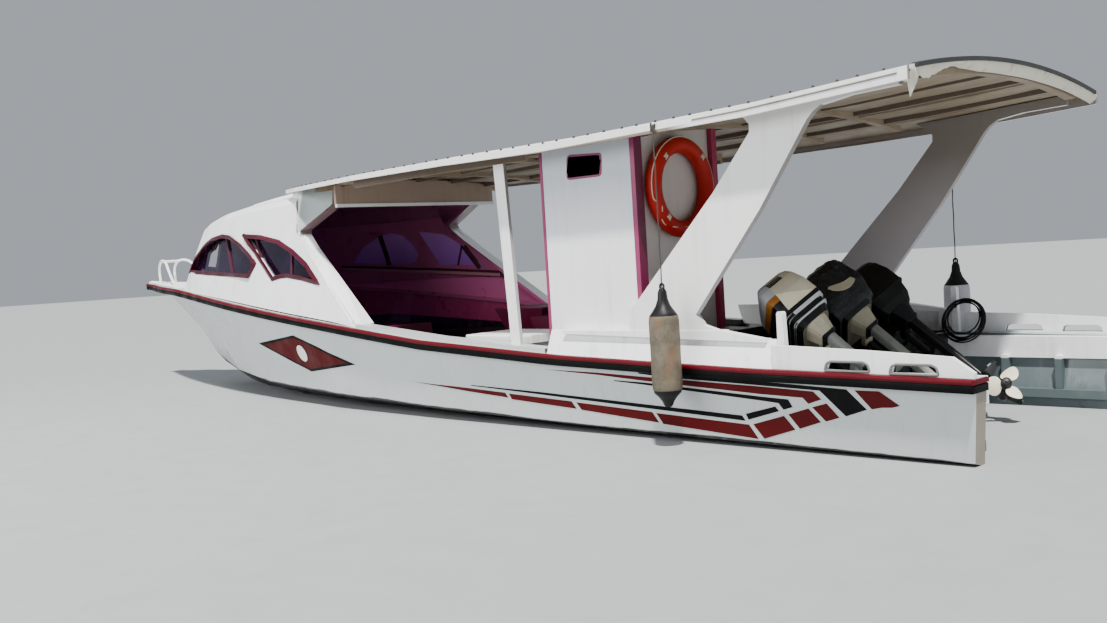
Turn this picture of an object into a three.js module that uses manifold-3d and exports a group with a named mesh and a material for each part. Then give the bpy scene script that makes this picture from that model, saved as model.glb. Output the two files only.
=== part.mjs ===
// Open passenger speedboat with a raised bow cabin, a long canopy on a raked arch,
// a cubicle amidships and three outboard engines tilted up between two stern arms.
// Stations run forward (+X) from the stern arms' aft ends, +Y is port and Z = 0 is
// the chine at the stern. The last lines move the group so that its origin lies
// amidships on the waterline. All sizes are millimetres.

import * as THREE from 'three';
import { mergeVertices, toCreasedNormals } from 'three/addons/utils/BufferGeometryUtils.js';
import Module from 'manifold-3d';

const wasm = await Module();
wasm.setup();

// Driving dimensions
const WATERLINE = -50;
const AMIDSHIPS = 6000;
const GAP = 0.3;
const HALF_BEAM = 1300;
const BOW_TIP = 11940;
const BEAM_ENDS = 4500;
const BOW_FINENESS = 2.2;
const HULL_WALL = 45;
const FLOOR_WALL = 70;
const SOLE = 100;
const SOLE_BOARD = 20;
const ARM_WIDTH = 125;
const TRANSOM_AFT = 1290;
const TRANSOM_THICKNESS = 60;
const TRANSOM_TOP = 330;
const DECK_BOARD = 35;
const ROOF_SKIN = 22;
const HOUSE_SIDE = 1200;
const CUBICLE_AFT = 2420;
const CUBICLE_FRONT = 3270;
const CUBICLE_INBOARD = 250;
const WALL = 30;
const ENGINE_SPACING = 560;
const TILT_PIVOT_X = 1400;
const TILT_PIVOT_Z = 360;
const TILT_ANGLE = THREE.MathUtils.degToRad(52);
const STEER_ANGLE = THREE.MathUtils.degToRad(-45);

// Hull stations: [x, rail height, chine half-breadth, chine height, keel height]
const STATIONS = [
  [0, 457, 1200, -30, -300],
  [1500, 482, 1200, -15, -310],
  [3200, 537, 1195, 10, -310],
  [4700, 627, 1180, 45, -310],
  [6200, 777, 1110, 85, -305],
  [7700, 917, 900, 125, -270],
  [8900, 1027, 560, 180, -160],
  [9600, 1085, 300, 240, -10],
  [10160, 1121, 110, 320, 186],
  [10380, 1130, 70, 500, 476],
  [10850, 1144, 50, 745, 723],
  [11300, 1162, 42, 1020, 1000],
  [11700, 1180, 40, 1120, 1100],
  [11940, 1192, 38, 1165, 1150],
];

const railHeights = STATIONS.map(([x, rail]) => [x, rail]);

function interpolate(table, x) {
  for (let i = 1; i < table.length; i += 1) {
    const [x0, v0] = table[i - 1];
    const [x1, v1] = table[i];
    if (x <= x1) return v0 + (v1 - v0) * (x - x0) / (x1 - x0);
  }
  return table[table.length - 1][1];
}

const railZ = (x) => interpolate(railHeights, x);

function railY(x) {
  if (x <= BEAM_ENDS) return HALF_BEAM;
  const forward = (x - BEAM_ENDS) / (BOW_TIP - BEAM_ENDS);
  return Math.max(HALF_BEAM * (1 - forward ** BOW_FINENESS), 45);
}

const chineY = (x) => interpolate(STATIONS.map(([s, , y]) => [s, y]), x);
const chineZ = (x) => interpolate(STATIONS.map(([s, , , z]) => [s, z]), x);
const keelZ = (x) => interpolate(STATIONS.map(([s, , , , z]) => [s, z]), x);

// Half-breadths at height z of the hull's outer side and of its V bottom
function sideY(x, z) {
  const up = (z - chineZ(x)) / (railZ(x) - chineZ(x));
  return chineY(x) + (railY(x) - chineY(x)) * up;
}

const bottomY = (x, z) => chineY(x) * (z - keelZ(x)) / (chineZ(x) - keelZ(x));

// Mesh helpers
function loft(sections) {
  const count = sections[0].ring.length;
  const positions = [];
  const index = [];
  for (const { x, ring } of sections) {
    for (const [y, z] of ring) positions.push(x, y, z);
  }
  const reach = (i, j) => Math.hypot(...[0, 1, 2].map((k) => positions[3 * i + k] - positions[3 * j + k]));
  for (let i = 0; i + 1 < sections.length; i += 1) {
    for (let j = 0; j < count; j += 1) {
      const a = i * count + j;
      const b = i * count + (j + 1) % count;
      if (reach(a, b + count) <= reach(b, a + count)) index.push(a, b, b + count, a, b + count, a + count);
      else index.push(a, b, a + count, b, b + count, a + count);
    }
  }
  const cap = (section, offset, forward) => {
    const ring = section.ring.map(([y, z]) => new THREE.Vector2(y, z));
    for (const face of THREE.ShapeUtils.triangulateShape(ring, [])) {
      const [p, q, r] = face.map((k) => ring[k]);
      const counterClockwise = (q.x - p.x) * (r.y - p.y) - (q.y - p.y) * (r.x - p.x) > 0;
      const [a, b, c] = counterClockwise === forward ? face : [face[0], face[2], face[1]];
      index.push(a + offset, b + offset, c + offset);
    }
  };
  cap(sections[0], 0, false);
  cap(sections[sections.length - 1], (sections.length - 1) * count, true);
  const geometry = new THREE.BufferGeometry();
  geometry.setAttribute('position', new THREE.Float32BufferAttribute(positions, 3));
  geometry.setIndex(index);
  return geometry;
}

// A counter-clockwise ring from its port half, listed upward from the centreline
function bothSides(half) {
  const starboardHalf = half.filter(([y]) => Math.abs(y) > 1e-6).map(([y, z]) => [-y, z]);
  return [...half, ...starboardHalf.reverse()];
}

// A side-view outline of [x, z] points, extruded across the boat
function plate(outline, yLow, yHigh, holes = []) {
  const shape = new THREE.Shape(outline.map(([x, z]) => new THREE.Vector2(x, z)));
  for (const hole of holes) {
    shape.holes.push(new THREE.Path(hole.map(([x, z]) => new THREE.Vector2(x, z))));
  }
  const geometry = new THREE.ExtrudeGeometry(shape, {
    depth: yHigh - yLow, bevelEnabled: false, curveSegments: 6,
  });
  return geometry.rotateX(Math.PI / 2).translate(0, yHigh, 0);
}

// An outline of [y, z] points, extruded forward
function frameBoard(outline, xLow, xHigh) {
  const ring = THREE.ShapeUtils.isClockWise(outline.map(([y, z]) => new THREE.Vector2(y, z)))
    ? [...outline].reverse() : outline;
  return loft([{ x: xLow, ring }, { x: xHigh, ring }]);
}

function block(xLow, xHigh, yLow, yHigh, zLow, zHigh) {
  const geometry = new THREE.BoxGeometry(xHigh - xLow, yHigh - yLow, zHigh - zLow);
  return geometry.translate((xLow + xHigh) / 2, (yLow + yHigh) / 2, (zLow + zHigh) / 2);
}

function tube(points, radius, sides = 8, steps = 12) {
  const curve = new THREE.CatmullRomCurve3(points.map((p) => new THREE.Vector3(...p)), false, 'centripetal');
  const circle = new THREE.Shape();
  for (let i = 0; i < sides; i += 1) {
    const turn = (i / sides) * Math.PI * 2;
    const point = [radius * Math.cos(turn), radius * Math.sin(turn)];
    if (i === 0) circle.moveTo(...point);
    else circle.lineTo(...point);
  }
  circle.closePath();
  return new THREE.ExtrudeGeometry(circle, { steps, extrudePath: curve, bevelEnabled: false });
}

function rod(from, to, radius, sides = 10) {
  const start = new THREE.Vector3(...from);
  const end = new THREE.Vector3(...to);
  const geometry = new THREE.CylinderGeometry(radius, radius, start.distanceTo(end), sides);
  const along = end.clone().sub(start).normalize();
  geometry.applyQuaternion(new THREE.Quaternion().setFromUnitVectors(new THREE.Vector3(0, 1, 0), along));
  return geometry.translate(...start.add(end).multiplyScalar(0.5).toArray());
}

// Boolean helpers
function solid(geometry) {
  const bare = geometry.clone();
  for (const name of Object.keys(bare.attributes)) {
    if (name !== 'position') bare.deleteAttribute(name);
  }
  const merged = mergeVertices(bare, 1e-3);
  return new wasm.Manifold(new wasm.Mesh({
    numProp: 3,
    vertProperties: new Float32Array(merged.attributes.position.array),
    triVerts: new Uint32Array(merged.index.array),
  }));
}

function fromSolid(manifold) {
  const { vertProperties, triVerts } = manifold.getMesh();
  const geometry = new THREE.BufferGeometry();
  geometry.setAttribute('position', new THREE.Float32BufferAttribute(vertProperties, 3));
  geometry.setIndex(Array.from(triVerts));
  return geometry;
}

const join = (...geometries) => fromSolid(
  geometries.map(solid).reduce((whole, piece) => whole.add(piece)),
);

const cut = (geometry, ...tools) => fromSolid(
  tools.map(solid).reduce((whole, tool) => whole.subtract(tool), solid(geometry)),
);

function starboard(geometry) {
  const mirrored = geometry.clone().scale(1, -1, 1);
  const source = mirrored.index ? mirrored : mergeVertices(mirrored, 1e-4);
  const index = Array.from(source.index.array);
  for (let i = 0; i < index.length; i += 3) {
    [index[i + 1], index[i + 2]] = [index[i + 2], index[i + 1]];
  }
  source.setIndex(index);
  return source;
}

// Finishes
const finish = (color, roughness, metalness = 0) => new THREE.MeshStandardMaterial({
  color, roughness, metalness,
});
const whitePaint = () => finish(0xe9ebee, 0.35);
const redPaint = () => finish(0x9c1226, 0.4);
const pinkPaint = () => finish(0xb0487a, 0.45);
const maroonPaint = () => finish(0x5a1030, 0.45);
const beigePaint = () => finish(0xb5a598, 0.6);
const purpleGlass = () => finish(0x3a2450, 0.15);
const greyGreen = () => finish(0x6f7f80, 0.6);
const creamPlastic = () => finish(0xb8b2a0, 0.5);
const blackPlastic = () => finish(0x131316, 0.5);
const metalGrey = () => finish(0x8c8f92, 0.4, 0.7);

const boat = new THREE.Group();

function add(parent, name, geometry, material) {
  const shown = toCreasedNormals(geometry, 0.5);
  const mesh = new THREE.Mesh(shown, material);
  mesh.name = name;
  parent.add(mesh);
  return mesh;
}

function addPair(name, geometry, material) {
  add(boat, `${name}_port`, geometry, material());
  add(boat, `${name}_starboard`, starboard(geometry), material());
}

// Hull: one shell with a V bottom, walls HULL_WALL thick, side decks inside the
// sheer, and a slot at the stern that leaves the transom inset between two arms with
// raked ends
const COAMING_END = 3270;
const CAVITY_END = 9750;
const CAVITY_AFT = TRANSOM_AFT + TRANSOM_THICKNESS;
const cavityStations = [CAVITY_AFT, 3200, 4500, 5300, 6200, 7000, 7700, 8300, 8900, 9300, 9600, CAVITY_END];

const RAIL_DEPTH = 78;
const hullStations = [0, 1500, 3200, 4500, 4700, 5300, 6200, 7000, 7700, 8300, 8900, 9300, 9600, 9900,
  10160, 10380, 10850, 11300, 11700, BOW_TIP];
const hullSections = hullStations.map((x) => {
  const knuckle = Math.max(railZ(x) - RAIL_DEPTH, chineZ(x) + 4);
  return { x, ring: bothSides([[0, keelZ(x)], [chineY(x), chineZ(x)], [sideY(x, knuckle), knuckle],
    [railY(x), railZ(x)], [0, railZ(x)]]) };
});

// Half-breadth inside the hull's floor at height z
const floorY = (x, z) => Math.max(
  (z < chineZ(x) ? bottomY(x, z) - FLOOR_WALL : sideY(x, z) - HULL_WALL), 12,
);
const cavity = loft(cavityStations.map((x) => {
  const knee = Math.max(chineZ(x), SOLE) + 15;
  const top = railZ(x) + 60;
  return { x, ring: bothSides([[0, SOLE], [floorY(x, SOLE), SOLE], [sideY(x, knee) - HULL_WALL, knee],
    [sideY(x, top) - HULL_WALL, top], [0, top]]) };
}));

const armInner = (z) => sideY(0, z) - ARM_WIDTH;
const sternSlot = frameBoard(bothSides([[0, -400], [armInner(-400), -400], [armInner(600), 600], [0, 600]]),
  -50, TRANSOM_AFT);
const engineDip = block(TRANSOM_AFT - 10, CAVITY_AFT + 10, -1000, 1000, TRANSOM_TOP, 700);
const SIDE_DECK_WIDTH = 130;
const SIDE_DECK_END = 5640;
const sideDeck = loft([COAMING_END + 1, 4500, SIDE_DECK_END - 2].map((x) => ({
  x,
  ring: [[railY(x) - SIDE_DECK_WIDTH, railZ(x) - 12], [railY(x) - 8, railZ(x) - 12],
    [railY(x) - 8, railZ(x) + DECK_BOARD], [railY(x) - SIDE_DECK_WIDTH, railZ(x) + DECK_BOARD]],
})));
const RAKE_TOP = 375;
const RAKE_FOOT = 101;
const sternRake = plate([[-10, RAKE_TOP], [0, RAKE_TOP], [RAKE_FOOT, -310], [RAKE_FOOT, -400], [-10, -400]],
  -HALF_BEAM - 10, HALF_BEAM + 10);
const shell = cut(loft(hullSections), cavity, sternSlot, engineDip, sternRake);
add(boat, 'hull', join(shell, sideDeck, starboard(sideDeck)), whitePaint());

// Sole boards lie on the floor inside the hull
const SOLE_GAP = 2;
const soleStations = [CAVITY_AFT + SOLE_GAP, 3200, 4500, 5300, 6200, 7000, 7700, 8300, 8900, 9300];
const sole = loft(soleStations.map((x) => {
  const half = floorY(x, SOLE) - SOLE_GAP;
  return { x, ring: bothSides([[0, SOLE + GAP], [half, SOLE + GAP], [half, SOLE + SOLE_BOARD],
    [0, SOLE + SOLE_BOARD]]) };
}));
add(boat, 'cockpit_sole', sole, maroonPaint());
const ON_SOLE = SOLE + SOLE_BOARD + GAP;

// Rub rails along both sides, wrapping past the arms' ends
const RAIL_OUT = 36;
const rubRail = loft(hullStations.map((x) => {
  const top = railZ(x);
  const knuckle = Math.max(top - RAIL_DEPTH, chineZ(x) + 4);
  const low = sideY(x, knuckle) + GAP;
  const high = railY(x) + GAP;
  return { x, ring: [[low, knuckle], [high + RAIL_OUT, knuckle], [high + RAIL_OUT, top], [high, top]] };
}));
addPair('rub_rail', rubRail, redPaint);

// Arm linings: a fascia board below the deck edge, ribs and a ledge on the inner skin
const LINING_AFT = 12;
const RIBS_AFT = 65;
const LINING_FORWARD = TRANSOM_AFT - 1;
const liningBoard = (zLow, zHigh, inboard, xLow, xHigh) => frameBoard([
  [inboard, zLow], [armInner(zLow) - GAP, zLow], [armInner(zHigh) - GAP, zHigh], [inboard, zHigh],
], xLow, xHigh);
const armLining = join(
  liningBoard(300, 455, 1100, LINING_AFT, LINING_FORWARD),
  liningBoard(20, 80, 1040, RIBS_AFT, LINING_FORWARD),
  ...[RIBS_AFT, 430, 820, 1200].map((x) => liningBoard(60, 320, 1060, x, x + 45)),
);
addPair('arm_lining', armLining, greyGreen);

// Bulwarks on the stern arms, each with two scupper slots at deck level
function scupper(centre) {
  const low = railZ(centre) + 12;
  return [[-145, 0], [145, 0], [133, 38], [105, 50], [-105, 50], [-133, 38]]
    .map(([x, z]) => [centre + x, low + z]);
}
const bulwarkOutline = [[0, 459], [TRANSOM_AFT, 480], [TRANSOM_AFT, 626], [640, 602], [125, 574],
  [0, 490]];
addPair('bulwark', plate(bulwarkOutline, 1262, 1300, [scupper(350), scupper(770)]), whitePaint);

// Coamings: leaning boards from the upright at the transom to the cubicle's front,
// with a moulding along the knuckle
const COAMING_TOP = 712;
const coamingY = (z) => 1205 + (COAMING_TOP - z) * 0.4;
const coamingBoard = (x) => ({
  x,
  ring: [[coamingY(railZ(x)) - 35, railZ(x) + GAP], [coamingY(railZ(x)), railZ(x) + GAP],
    [coamingY(COAMING_TOP), COAMING_TOP], [coamingY(COAMING_TOP) - 35, COAMING_TOP]],
});
const coamingCut = plate([[1200, 655], [1380, 655], [1690, 706], [1690, 900], [1200, 900]], 1000, 1400);
const UPRIGHT_BASE = railZ(TRANSOM_AFT) + GAP;
const upright = join(
  plate([[1235, UPRIGHT_BASE], [1288, UPRIGHT_BASE], [1288, 815], [1280, 828], [1254, 828], [1246, 815]],
    1180, 1225),
  block(1270, 1400, 1190, 1225, 520, 636),
);
const moulding = plate([[1355, 638], [3110, 685], [3110, COAMING_TOP - 2 - GAP],
  [1700, COAMING_TOP - 2 - GAP], [1380, 660], [1355, 660]], 1188, 1262);
const coaming = join(
  cut(loft([TRANSOM_AFT + GAP, 1500, 3200, COAMING_END].map(coamingBoard)), coamingCut),
  upright, moulding,
);
addPair('coaming', coaming, whitePaint);

// Well bulkhead: the board that closes the engine well off from the cockpit
const WELL_BULKHEAD = 2010;
const WELL_TOP = 655;
const wellHalf = [[0, ON_SOLE], [sideY(WELL_BULKHEAD, ON_SOLE) - HULL_WALL - 3, ON_SOLE],
  [sideY(WELL_BULKHEAD, 470) - HULL_WALL - 3, 470], [1165, WELL_TOP], [0, WELL_TOP]];
add(boat, 'well_bulkhead', frameBoard(bothSides(wellHalf), WELL_BULKHEAD, WELL_BULKHEAD + WALL),
  whitePaint());

// Foredeck: a cambered board from the cabin front to the stem
const foredeck = loft([CAVITY_END + 10, 9900, 10160, 10380, 10850, 11300, 11700, BOW_TIP - 5].map((x) => {
  const edge = railY(x) - 3;
  return { x, ring: bothSides([[0, railZ(x) + GAP], [edge, railZ(x) + GAP],
    [edge, railZ(x) + 20], [0, railZ(x) + 35]]) };
}));
const NOSE = 10300;
add(boat, 'foredeck', cut(foredeck, block(9000, NOSE, -700, 700, 1000, 1400)), whitePaint());

// Forward cabin: a moulded shell with leaning sides, a domed nose, cut windows and
// raked aft pillars. Stations: [x, crown height, rounding of the nose in plan]
const CABIN_STATIONS = [
  [5340, 1950, 0], [6200, 2030, 0], [7000, 2050, 0], [7700, 2060, 0], [8300, 2065, 0], [8900, 2040, 15],
  [9300, 1985, 45], [9600, 1900, 100], [9900, 1740, 190], [10080, 1580, 270], [10160, 1470, 350],
  [10250, 1330, 460], [NOSE - 5, 1215, 500],
].map(([x, crown, rounding]) => [x, railY(x) - 15 - rounding, crown]);
const CABIN_WALL = 40;
const CABIN_LEAN = 0.2;
function cabinRing([x, half, crown], inset) {
  const base = Math.max(railZ(x) - (inset > 0 ? 60 : 0), 0) + GAP;
  const top = crown - inset;
  const bottomHalf = half - inset;
  const shoulder = Math.max(base + 5, top - 130);
  const sideHalf = Math.max(bottomHalf - CABIN_LEAN * (shoulder - base), bottomHalf * 0.45);
  return bothSides([[0, base], [bottomHalf, base], [sideHalf, shoulder],
    [sideHalf * 0.95, top - (top - shoulder) * 0.5], [sideHalf * 0.84, top - (top - shoulder) * 0.2],
    [sideHalf * 0.5, top - (top - shoulder) * 0.04], [0, top]]);
}
const cabinOuter = loft(CABIN_STATIONS.map((s) => ({ x: s[0], ring: cabinRing(s, 0) })));
const cabinInside = (inset) => loft(CABIN_STATIONS.slice(0, -3).map(([x, half, crown]) => ({
  x, ring: cabinRing([x, half, crown], inset),
})));
const cabinInner = cabinInside(CABIN_WALL);
const FRONT_WINDOW = [[9760, 1310], [9620, 1460], [9400, 1590], [9110, 1668], [8780, 1690],
  [8540, 1665], [8260, 1572], [7980, 1448], [7820, 1350], [7960, 1222]];
const REAR_WINDOW = [[8190, 1660], [7780, 1628], [7350, 1560], [7020, 1448], [6740, 1316],
  [6450, 1115], [6800, 1173], [7100, 1206], [7250, 1200], [7410, 1178]];
const acrossBoat = (outline) => plate(outline, -1500, 1500);
const aftOpening = acrossBoat([[5000, 300], [SIDE_DECK_END, 300], [SIDE_DECK_END, 757], [5715, 757],
  [6207, 1146], [6811, 1614], [6905, 1940], [6905, 2300], [5000, 2300]]);
const cabinShell = cut(
  cabinOuter, cabinInner, acrossBoat(FRONT_WINDOW), acrossBoat(REAR_WINDOW), aftOpening,
);

// Arched roof: a thin skin on edge boards, cross beams and stringers
// Roof stations: [x, half-width, edge height, camber, edge board depth]
const ROOF = [
  [240, 1430, 2172, 130, 78],
  [1330, 1430, 2100, 140, 75],
  [2122, 1430, 2074, 140, 68],
  [3050, 1430, 2050, 140, 60],
  [4150, 1430, 2051, 130, 50],
  [5434, 1360, 2044, 100, 45],
  [6328, 1210, 2041, 75, 42],
  [6765, 1060, 2052, 60, 40],
  [7157, 900, 2063, 45, 40],
];
const roofColumn = (column) => (x) => interpolate(ROOF.map((row) => [row[0], row[column]]), x);
const [roofHalf, roofEdgeZ, roofCamber, edgeDepth] = [1, 2, 3, 4].map(roofColumn);
const EDGE_BOARD = 26;
const ARC = [0, 0.25, 0.5, 0.7, 0.88, 1];
const roofZ = (x, y) => roofEdgeZ(x) + roofCamber(x) * (1 - (y / roofHalf(x)) ** 2);
const skinHalf = (x) => roofHalf(x) - EDGE_BOARD;

// Height of the skin's lower face, whose section is a chord between the arc's points
function underRoof(x, y) {
  const table = ARC.map((part) => [skinHalf(x) * part, roofZ(x, skinHalf(x) * part)]);
  return interpolate(table, Math.abs(y)) - ROOF_SKIN;
}

// A section under the roof: y values, and its top and depth below the skin
const arched = (x, arc, top, depth) => ({
  x, ring: bothSides([...arc.map((y) => [y, underRoof(x, y) - top - depth]),
    ...[...arc].reverse().map((y) => [y, underRoof(x, y) - top])]),
});
const roofStations = ROOF.map(([x]) => x);
const skin = loft(roofStations.map((x) => arched(x, ARC.map((part) => skinHalf(x) * part),
  -ROOF_SKIN, ROOF_SKIN)));
add(boat, 'roof_skin', skin, whitePaint());

// Roof frame: beams across, stringers along, and side stringers over the thin posts
const UNDER_SKIN = 1.5;
const BEAM_DEPTH = 60;
const STRINGER_DEPTH = 45;
const SIDE_STRINGER = [1207, 1237];
const SIDE_STRINGER_DEPTH = 85;
const CABIN_BEAM = 6300;
// Beams: [aft face, front face, half-length]
const BEAMS = [
  [300, 360, 1138],
  [1620, 1680, 1138],
  [2300, 2360, 1138],
  [3400, 3460, 1220],
  [4500, 4560, 1220],
  [5500, 5560, 1220],
  [6240, CABIN_BEAM, 1138],
];
const beams = BEAMS.map(([aft, front, half]) => loft([aft, front].map(
  (x) => arched(x, [0, 0.3, 0.6, 0.85, 1].map((part) => half * part), UNDER_SKIN, BEAM_DEPTH),
)));
const along = (stations, low, high, depth) => loft(stations.map((x) => {
  const top = underRoof(x, Math.max(Math.abs(low), Math.abs(high))) - UNDER_SKIN;
  return { x, ring: [[low, top - depth], [high, top - depth], [high, top], [low, top]] };
}));
const stringers = [-900, -450, 0, 450, 900].map((y) => along(
  [300, 1330, 2122, 3050, 4150, 5434, CABIN_BEAM - 5], y - 22, y + 22, STRINGER_DEPTH,
));
const sideStringer = along([3400, 4150, 5434, 5560], ...SIDE_STRINGER, SIDE_STRINGER_DEPTH);
const cubicleTop = block(CUBICLE_AFT - 10, CUBICLE_FRONT + 10, CUBICLE_INBOARD - 10, 1210, 1900, 2400);
const roofFrame = cut(join(...beams, ...stringers, sideStringer, starboard(sideStringer)), cubicleTop);
add(boat, 'roof_frame', roofFrame, beigePaint());

const edgeBoard = loft(roofStations.map((x) => {
  const [half, edge, depth] = [roofHalf(x), roofZ(x, skinHalf(x)), edgeDepth(x)];
  return { x, ring: [[half - EDGE_BOARD + GAP, edge - depth], [half, edge - depth], [half, edge - 6],
    [half - EDGE_BOARD + GAP, edge]] };
}));
addPair('roof_edge', edgeBoard, whitePaint);

// Forward cabin: its shell, the leaning pillars that flare into gussets under the
// roof, and an upstand that closes the crown's aft end against the roof
const PILLAR_THICKNESS = 130;
const PILLAR_LEAN = 0.26;
const pillarY = (z) => 1240 - PILLAR_LEAN * (z - 750);
const deckFoot = (x) => [x, railZ(x) + DECK_BOARD + 1];
const gussetTop = (x) => [x, underRoof(x, pillarY(2000)) - 4];
const pillarOutline = [
  deckFoot(5580), deckFoot(5700), [5760, 790], [6300, 1210], [6920, 1680], [6940, 1900], gussetTop(6940),
  gussetTop(6345), [6313, 1866], [6345, 1844], [6790, 1640], [6778, 1575], [6150, 1145],
];
const shear = new THREE.Matrix4().set(1, 0, 0, 0, 0, 1, -PILLAR_LEAN, 0, 0, 0, 1, 0, 0, 0, 0, 1);
const pillar = plate(pillarOutline, -PILLAR_THICKNESS, 0).applyMatrix4(shear).translate(0, pillarY(0), 0);
const upstandX = [6945, 7000];
const upstand = loft(upstandX.map((x) => arched(x, [0, 250, 500, 700, 830], 6, 90)));
add(boat, 'forward_cabin', join(cabinShell, pillar, starboard(pillar), upstand), whitePaint());

// Raked arch legs, one plate a side, standing on the coaming's moulding and running
// into flared heads under the roof
const LEG_INNER = 1207;
const LEG_OUTER = 1257;
const LEG_FOOT = COAMING_TOP - 2;
const legTop = (x) => [x, underRoof(x, LEG_OUTER) - GAP];
const legOutline = [
  [1710, LEG_FOOT], [2466, LEG_FOOT], [2466, 840], [2373, 920], [1693, 1604], [1396, 1951],
  [1393, 2000], [1436, 2050], legTop(1526), legTop(1330), legTop(460), legTop(380), [380, 2100],
  [688, 2085], [882, 2055], [941, 2020], [985, 1976], [1347, 1471], [1889, 816], [1837, 748],
];
addPair('arch_leg', plate(legOutline, LEG_INNER, LEG_OUTER), whitePaint);

// Thin posts between the side deck and the side stringers
const postFoot = (x) => [x, railZ(x) + DECK_BOARD + GAP];
const postHead = (x) => [
  x, underRoof(x, SIDE_STRINGER[1]) - UNDER_SKIN - SIDE_STRINGER_DEPTH - 2 * GAP,
];
addPair('side_post', plate([postFoot(3584), postFoot(3683), postHead(3762), postHead(3651)],
  ...SIDE_STRINGER), whitePaint);

// Cubicle: four board walls with a small window outboard and a doorway inboard
const DOOR_AFT = 2580;
const DOOR_FRONT = 3160;
const DOOR_LOW = 190;
const DOOR_TOP = 1960;
function crossWall(x) {
  const outline = [[CUBICLE_INBOARD, ON_SOLE], [1150, ON_SOLE], [1150, COAMING_TOP + 2],
    [HOUSE_SIDE, COAMING_TOP + 2], [HOUSE_SIDE, underRoof(x, HOUSE_SIDE) - 8],
    [1000, underRoof(x, 1000) - 8], [700, underRoof(x, 700) - 8], [350, underRoof(x, 350) - 8],
    [CUBICLE_INBOARD, underRoof(x, CUBICLE_INBOARD) - 8]];
  return frameBoard(outline, x, x + WALL);
}
const sideTop = (y) => [[CUBICLE_FRONT, underRoof(CUBICLE_FRONT, y) - 8],
  [3050, underRoof(3050, y) - 8], [CUBICLE_AFT, underRoof(CUBICLE_AFT, y) - 8]];
const outerWall = plate([[CUBICLE_AFT, COAMING_TOP + 2], [CUBICLE_FRONT, COAMING_TOP + 2],
  ...sideTop(HOUSE_SIDE)], HOUSE_SIDE - WALL, HOUSE_SIDE, [
  [[2703, 1810], [3014, 1810], [3001, 1960], [2692, 1946]],
]);
const innerWall = plate([[CUBICLE_AFT, ON_SOLE], [CUBICLE_FRONT, ON_SOLE],
  ...sideTop(CUBICLE_INBOARD + WALL)], CUBICLE_INBOARD, CUBICLE_INBOARD + WALL, [
  [[DOOR_AFT, DOOR_LOW], [DOOR_FRONT, DOOR_LOW], [DOOR_FRONT, DOOR_TOP], [DOOR_AFT, DOOR_TOP]],
]);
const cubicle = join(crossWall(CUBICLE_AFT), crossWall(CUBICLE_FRONT - WALL), outerWall, innerWall);
add(boat, 'cubicle', cubicle, whitePaint());

const HINGE_RADIUS = 9;
const hingeY = CUBICLE_INBOARD - HINGE_RADIUS - 0.5;
const hinges = [450, 1650].map((z) => rod([DOOR_FRONT, hingeY, z], [DOOR_FRONT, hingeY, z + 110],
  HINGE_RADIUS, 12));
const leaves = [450, 1650].map((z) => block(DOOR_FRONT - 60, DOOR_FRONT, CUBICLE_INBOARD - 8,
  CUBICLE_INBOARD + 4, z, z + 110));
const door = join(
  block(DOOR_AFT + 6, DOOR_FRONT - 8, CUBICLE_INBOARD, CUBICLE_INBOARD + 26, DOOR_LOW + 6, DOOR_TOP - 6),
  ...leaves, ...hinges,
  block(DOOR_AFT + 40, DOOR_AFT + 60, CUBICLE_INBOARD - 35, CUBICLE_INBOARD + 2, 1000, 1120),
);
add(boat, 'cubicle_door', door, maroonPaint());

// Painted corner posts of the cubicle
const cornerPost = (aft, front, yLow, yHigh, low) => block(aft, front, yLow, yHigh, low,
  underRoof((aft + front) / 2, yHigh) - 12);
add(boat, 'cubicle_post_aft', cornerPost(2380, CUBICLE_AFT - GAP, 1120, HOUSE_SIDE + 4, 860), pinkPaint());
add(boat, 'cubicle_post_front', cornerPost(CUBICLE_FRONT + GAP, CUBICLE_FRONT + 26, 1160,
  HOUSE_SIDE + 4, railZ(CUBICLE_FRONT + 26) + DECK_BOARD + 1), pinkPaint());
add(boat, 'cubicle_post_inboard', cornerPost(2380, CUBICLE_AFT - GAP, CUBICLE_INBOARD,
  CUBICLE_INBOARD + 60, 640), maroonPaint());

// Window panes lie against the walls' inner faces and lap past their cut-outs
const PANE = 6;
const PANE_LAP = 1.07;
const lapped = (outline) => {
  const middle = [0, 1].map((k) => outline.reduce((sum, point) => sum + point[k], 0) / outline.length);
  return outline.map((point) => point.map((value, k) => middle[k] + (value - middle[k]) * PANE_LAP));
};
const glazing = cut(cabinInside(CABIN_WALL + GAP), cabinInside(CABIN_WALL + GAP + PANE));
const cabinPane = (outline) => fromSolid(solid(glazing).intersect(solid(plate(lapped(outline), 100, 1500))));
addPair('front_pane', cabinPane(FRONT_WINDOW), purpleGlass);
addPair('rear_pane', cabinPane(REAR_WINDOW), purpleGlass);
const CUBICLE_WINDOW = [[2703, 1810], [3014, 1810], [3001, 1960], [2692, 1946]];
const paneOuter = HOUSE_SIDE - WALL - GAP;
add(boat, 'cubicle_pane', plate(lapped(CUBICLE_WINDOW), paneOuter - PANE, paneOuter), purpleGlass());

// Lifebuoy on the cubicle's aft wall
const BUOY_RADIUS = 300;
const BUOY_TUBE = 60;
const buoy = new THREE.TorusGeometry(BUOY_RADIUS, BUOY_TUBE, 12, 28).rotateY(Math.PI / 2);
add(boat, 'lifebuoy', buoy.translate(CUBICLE_AFT - BUOY_TUBE - GAP, 737, 1690), finish(0xc8321e, 0.55));

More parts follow.
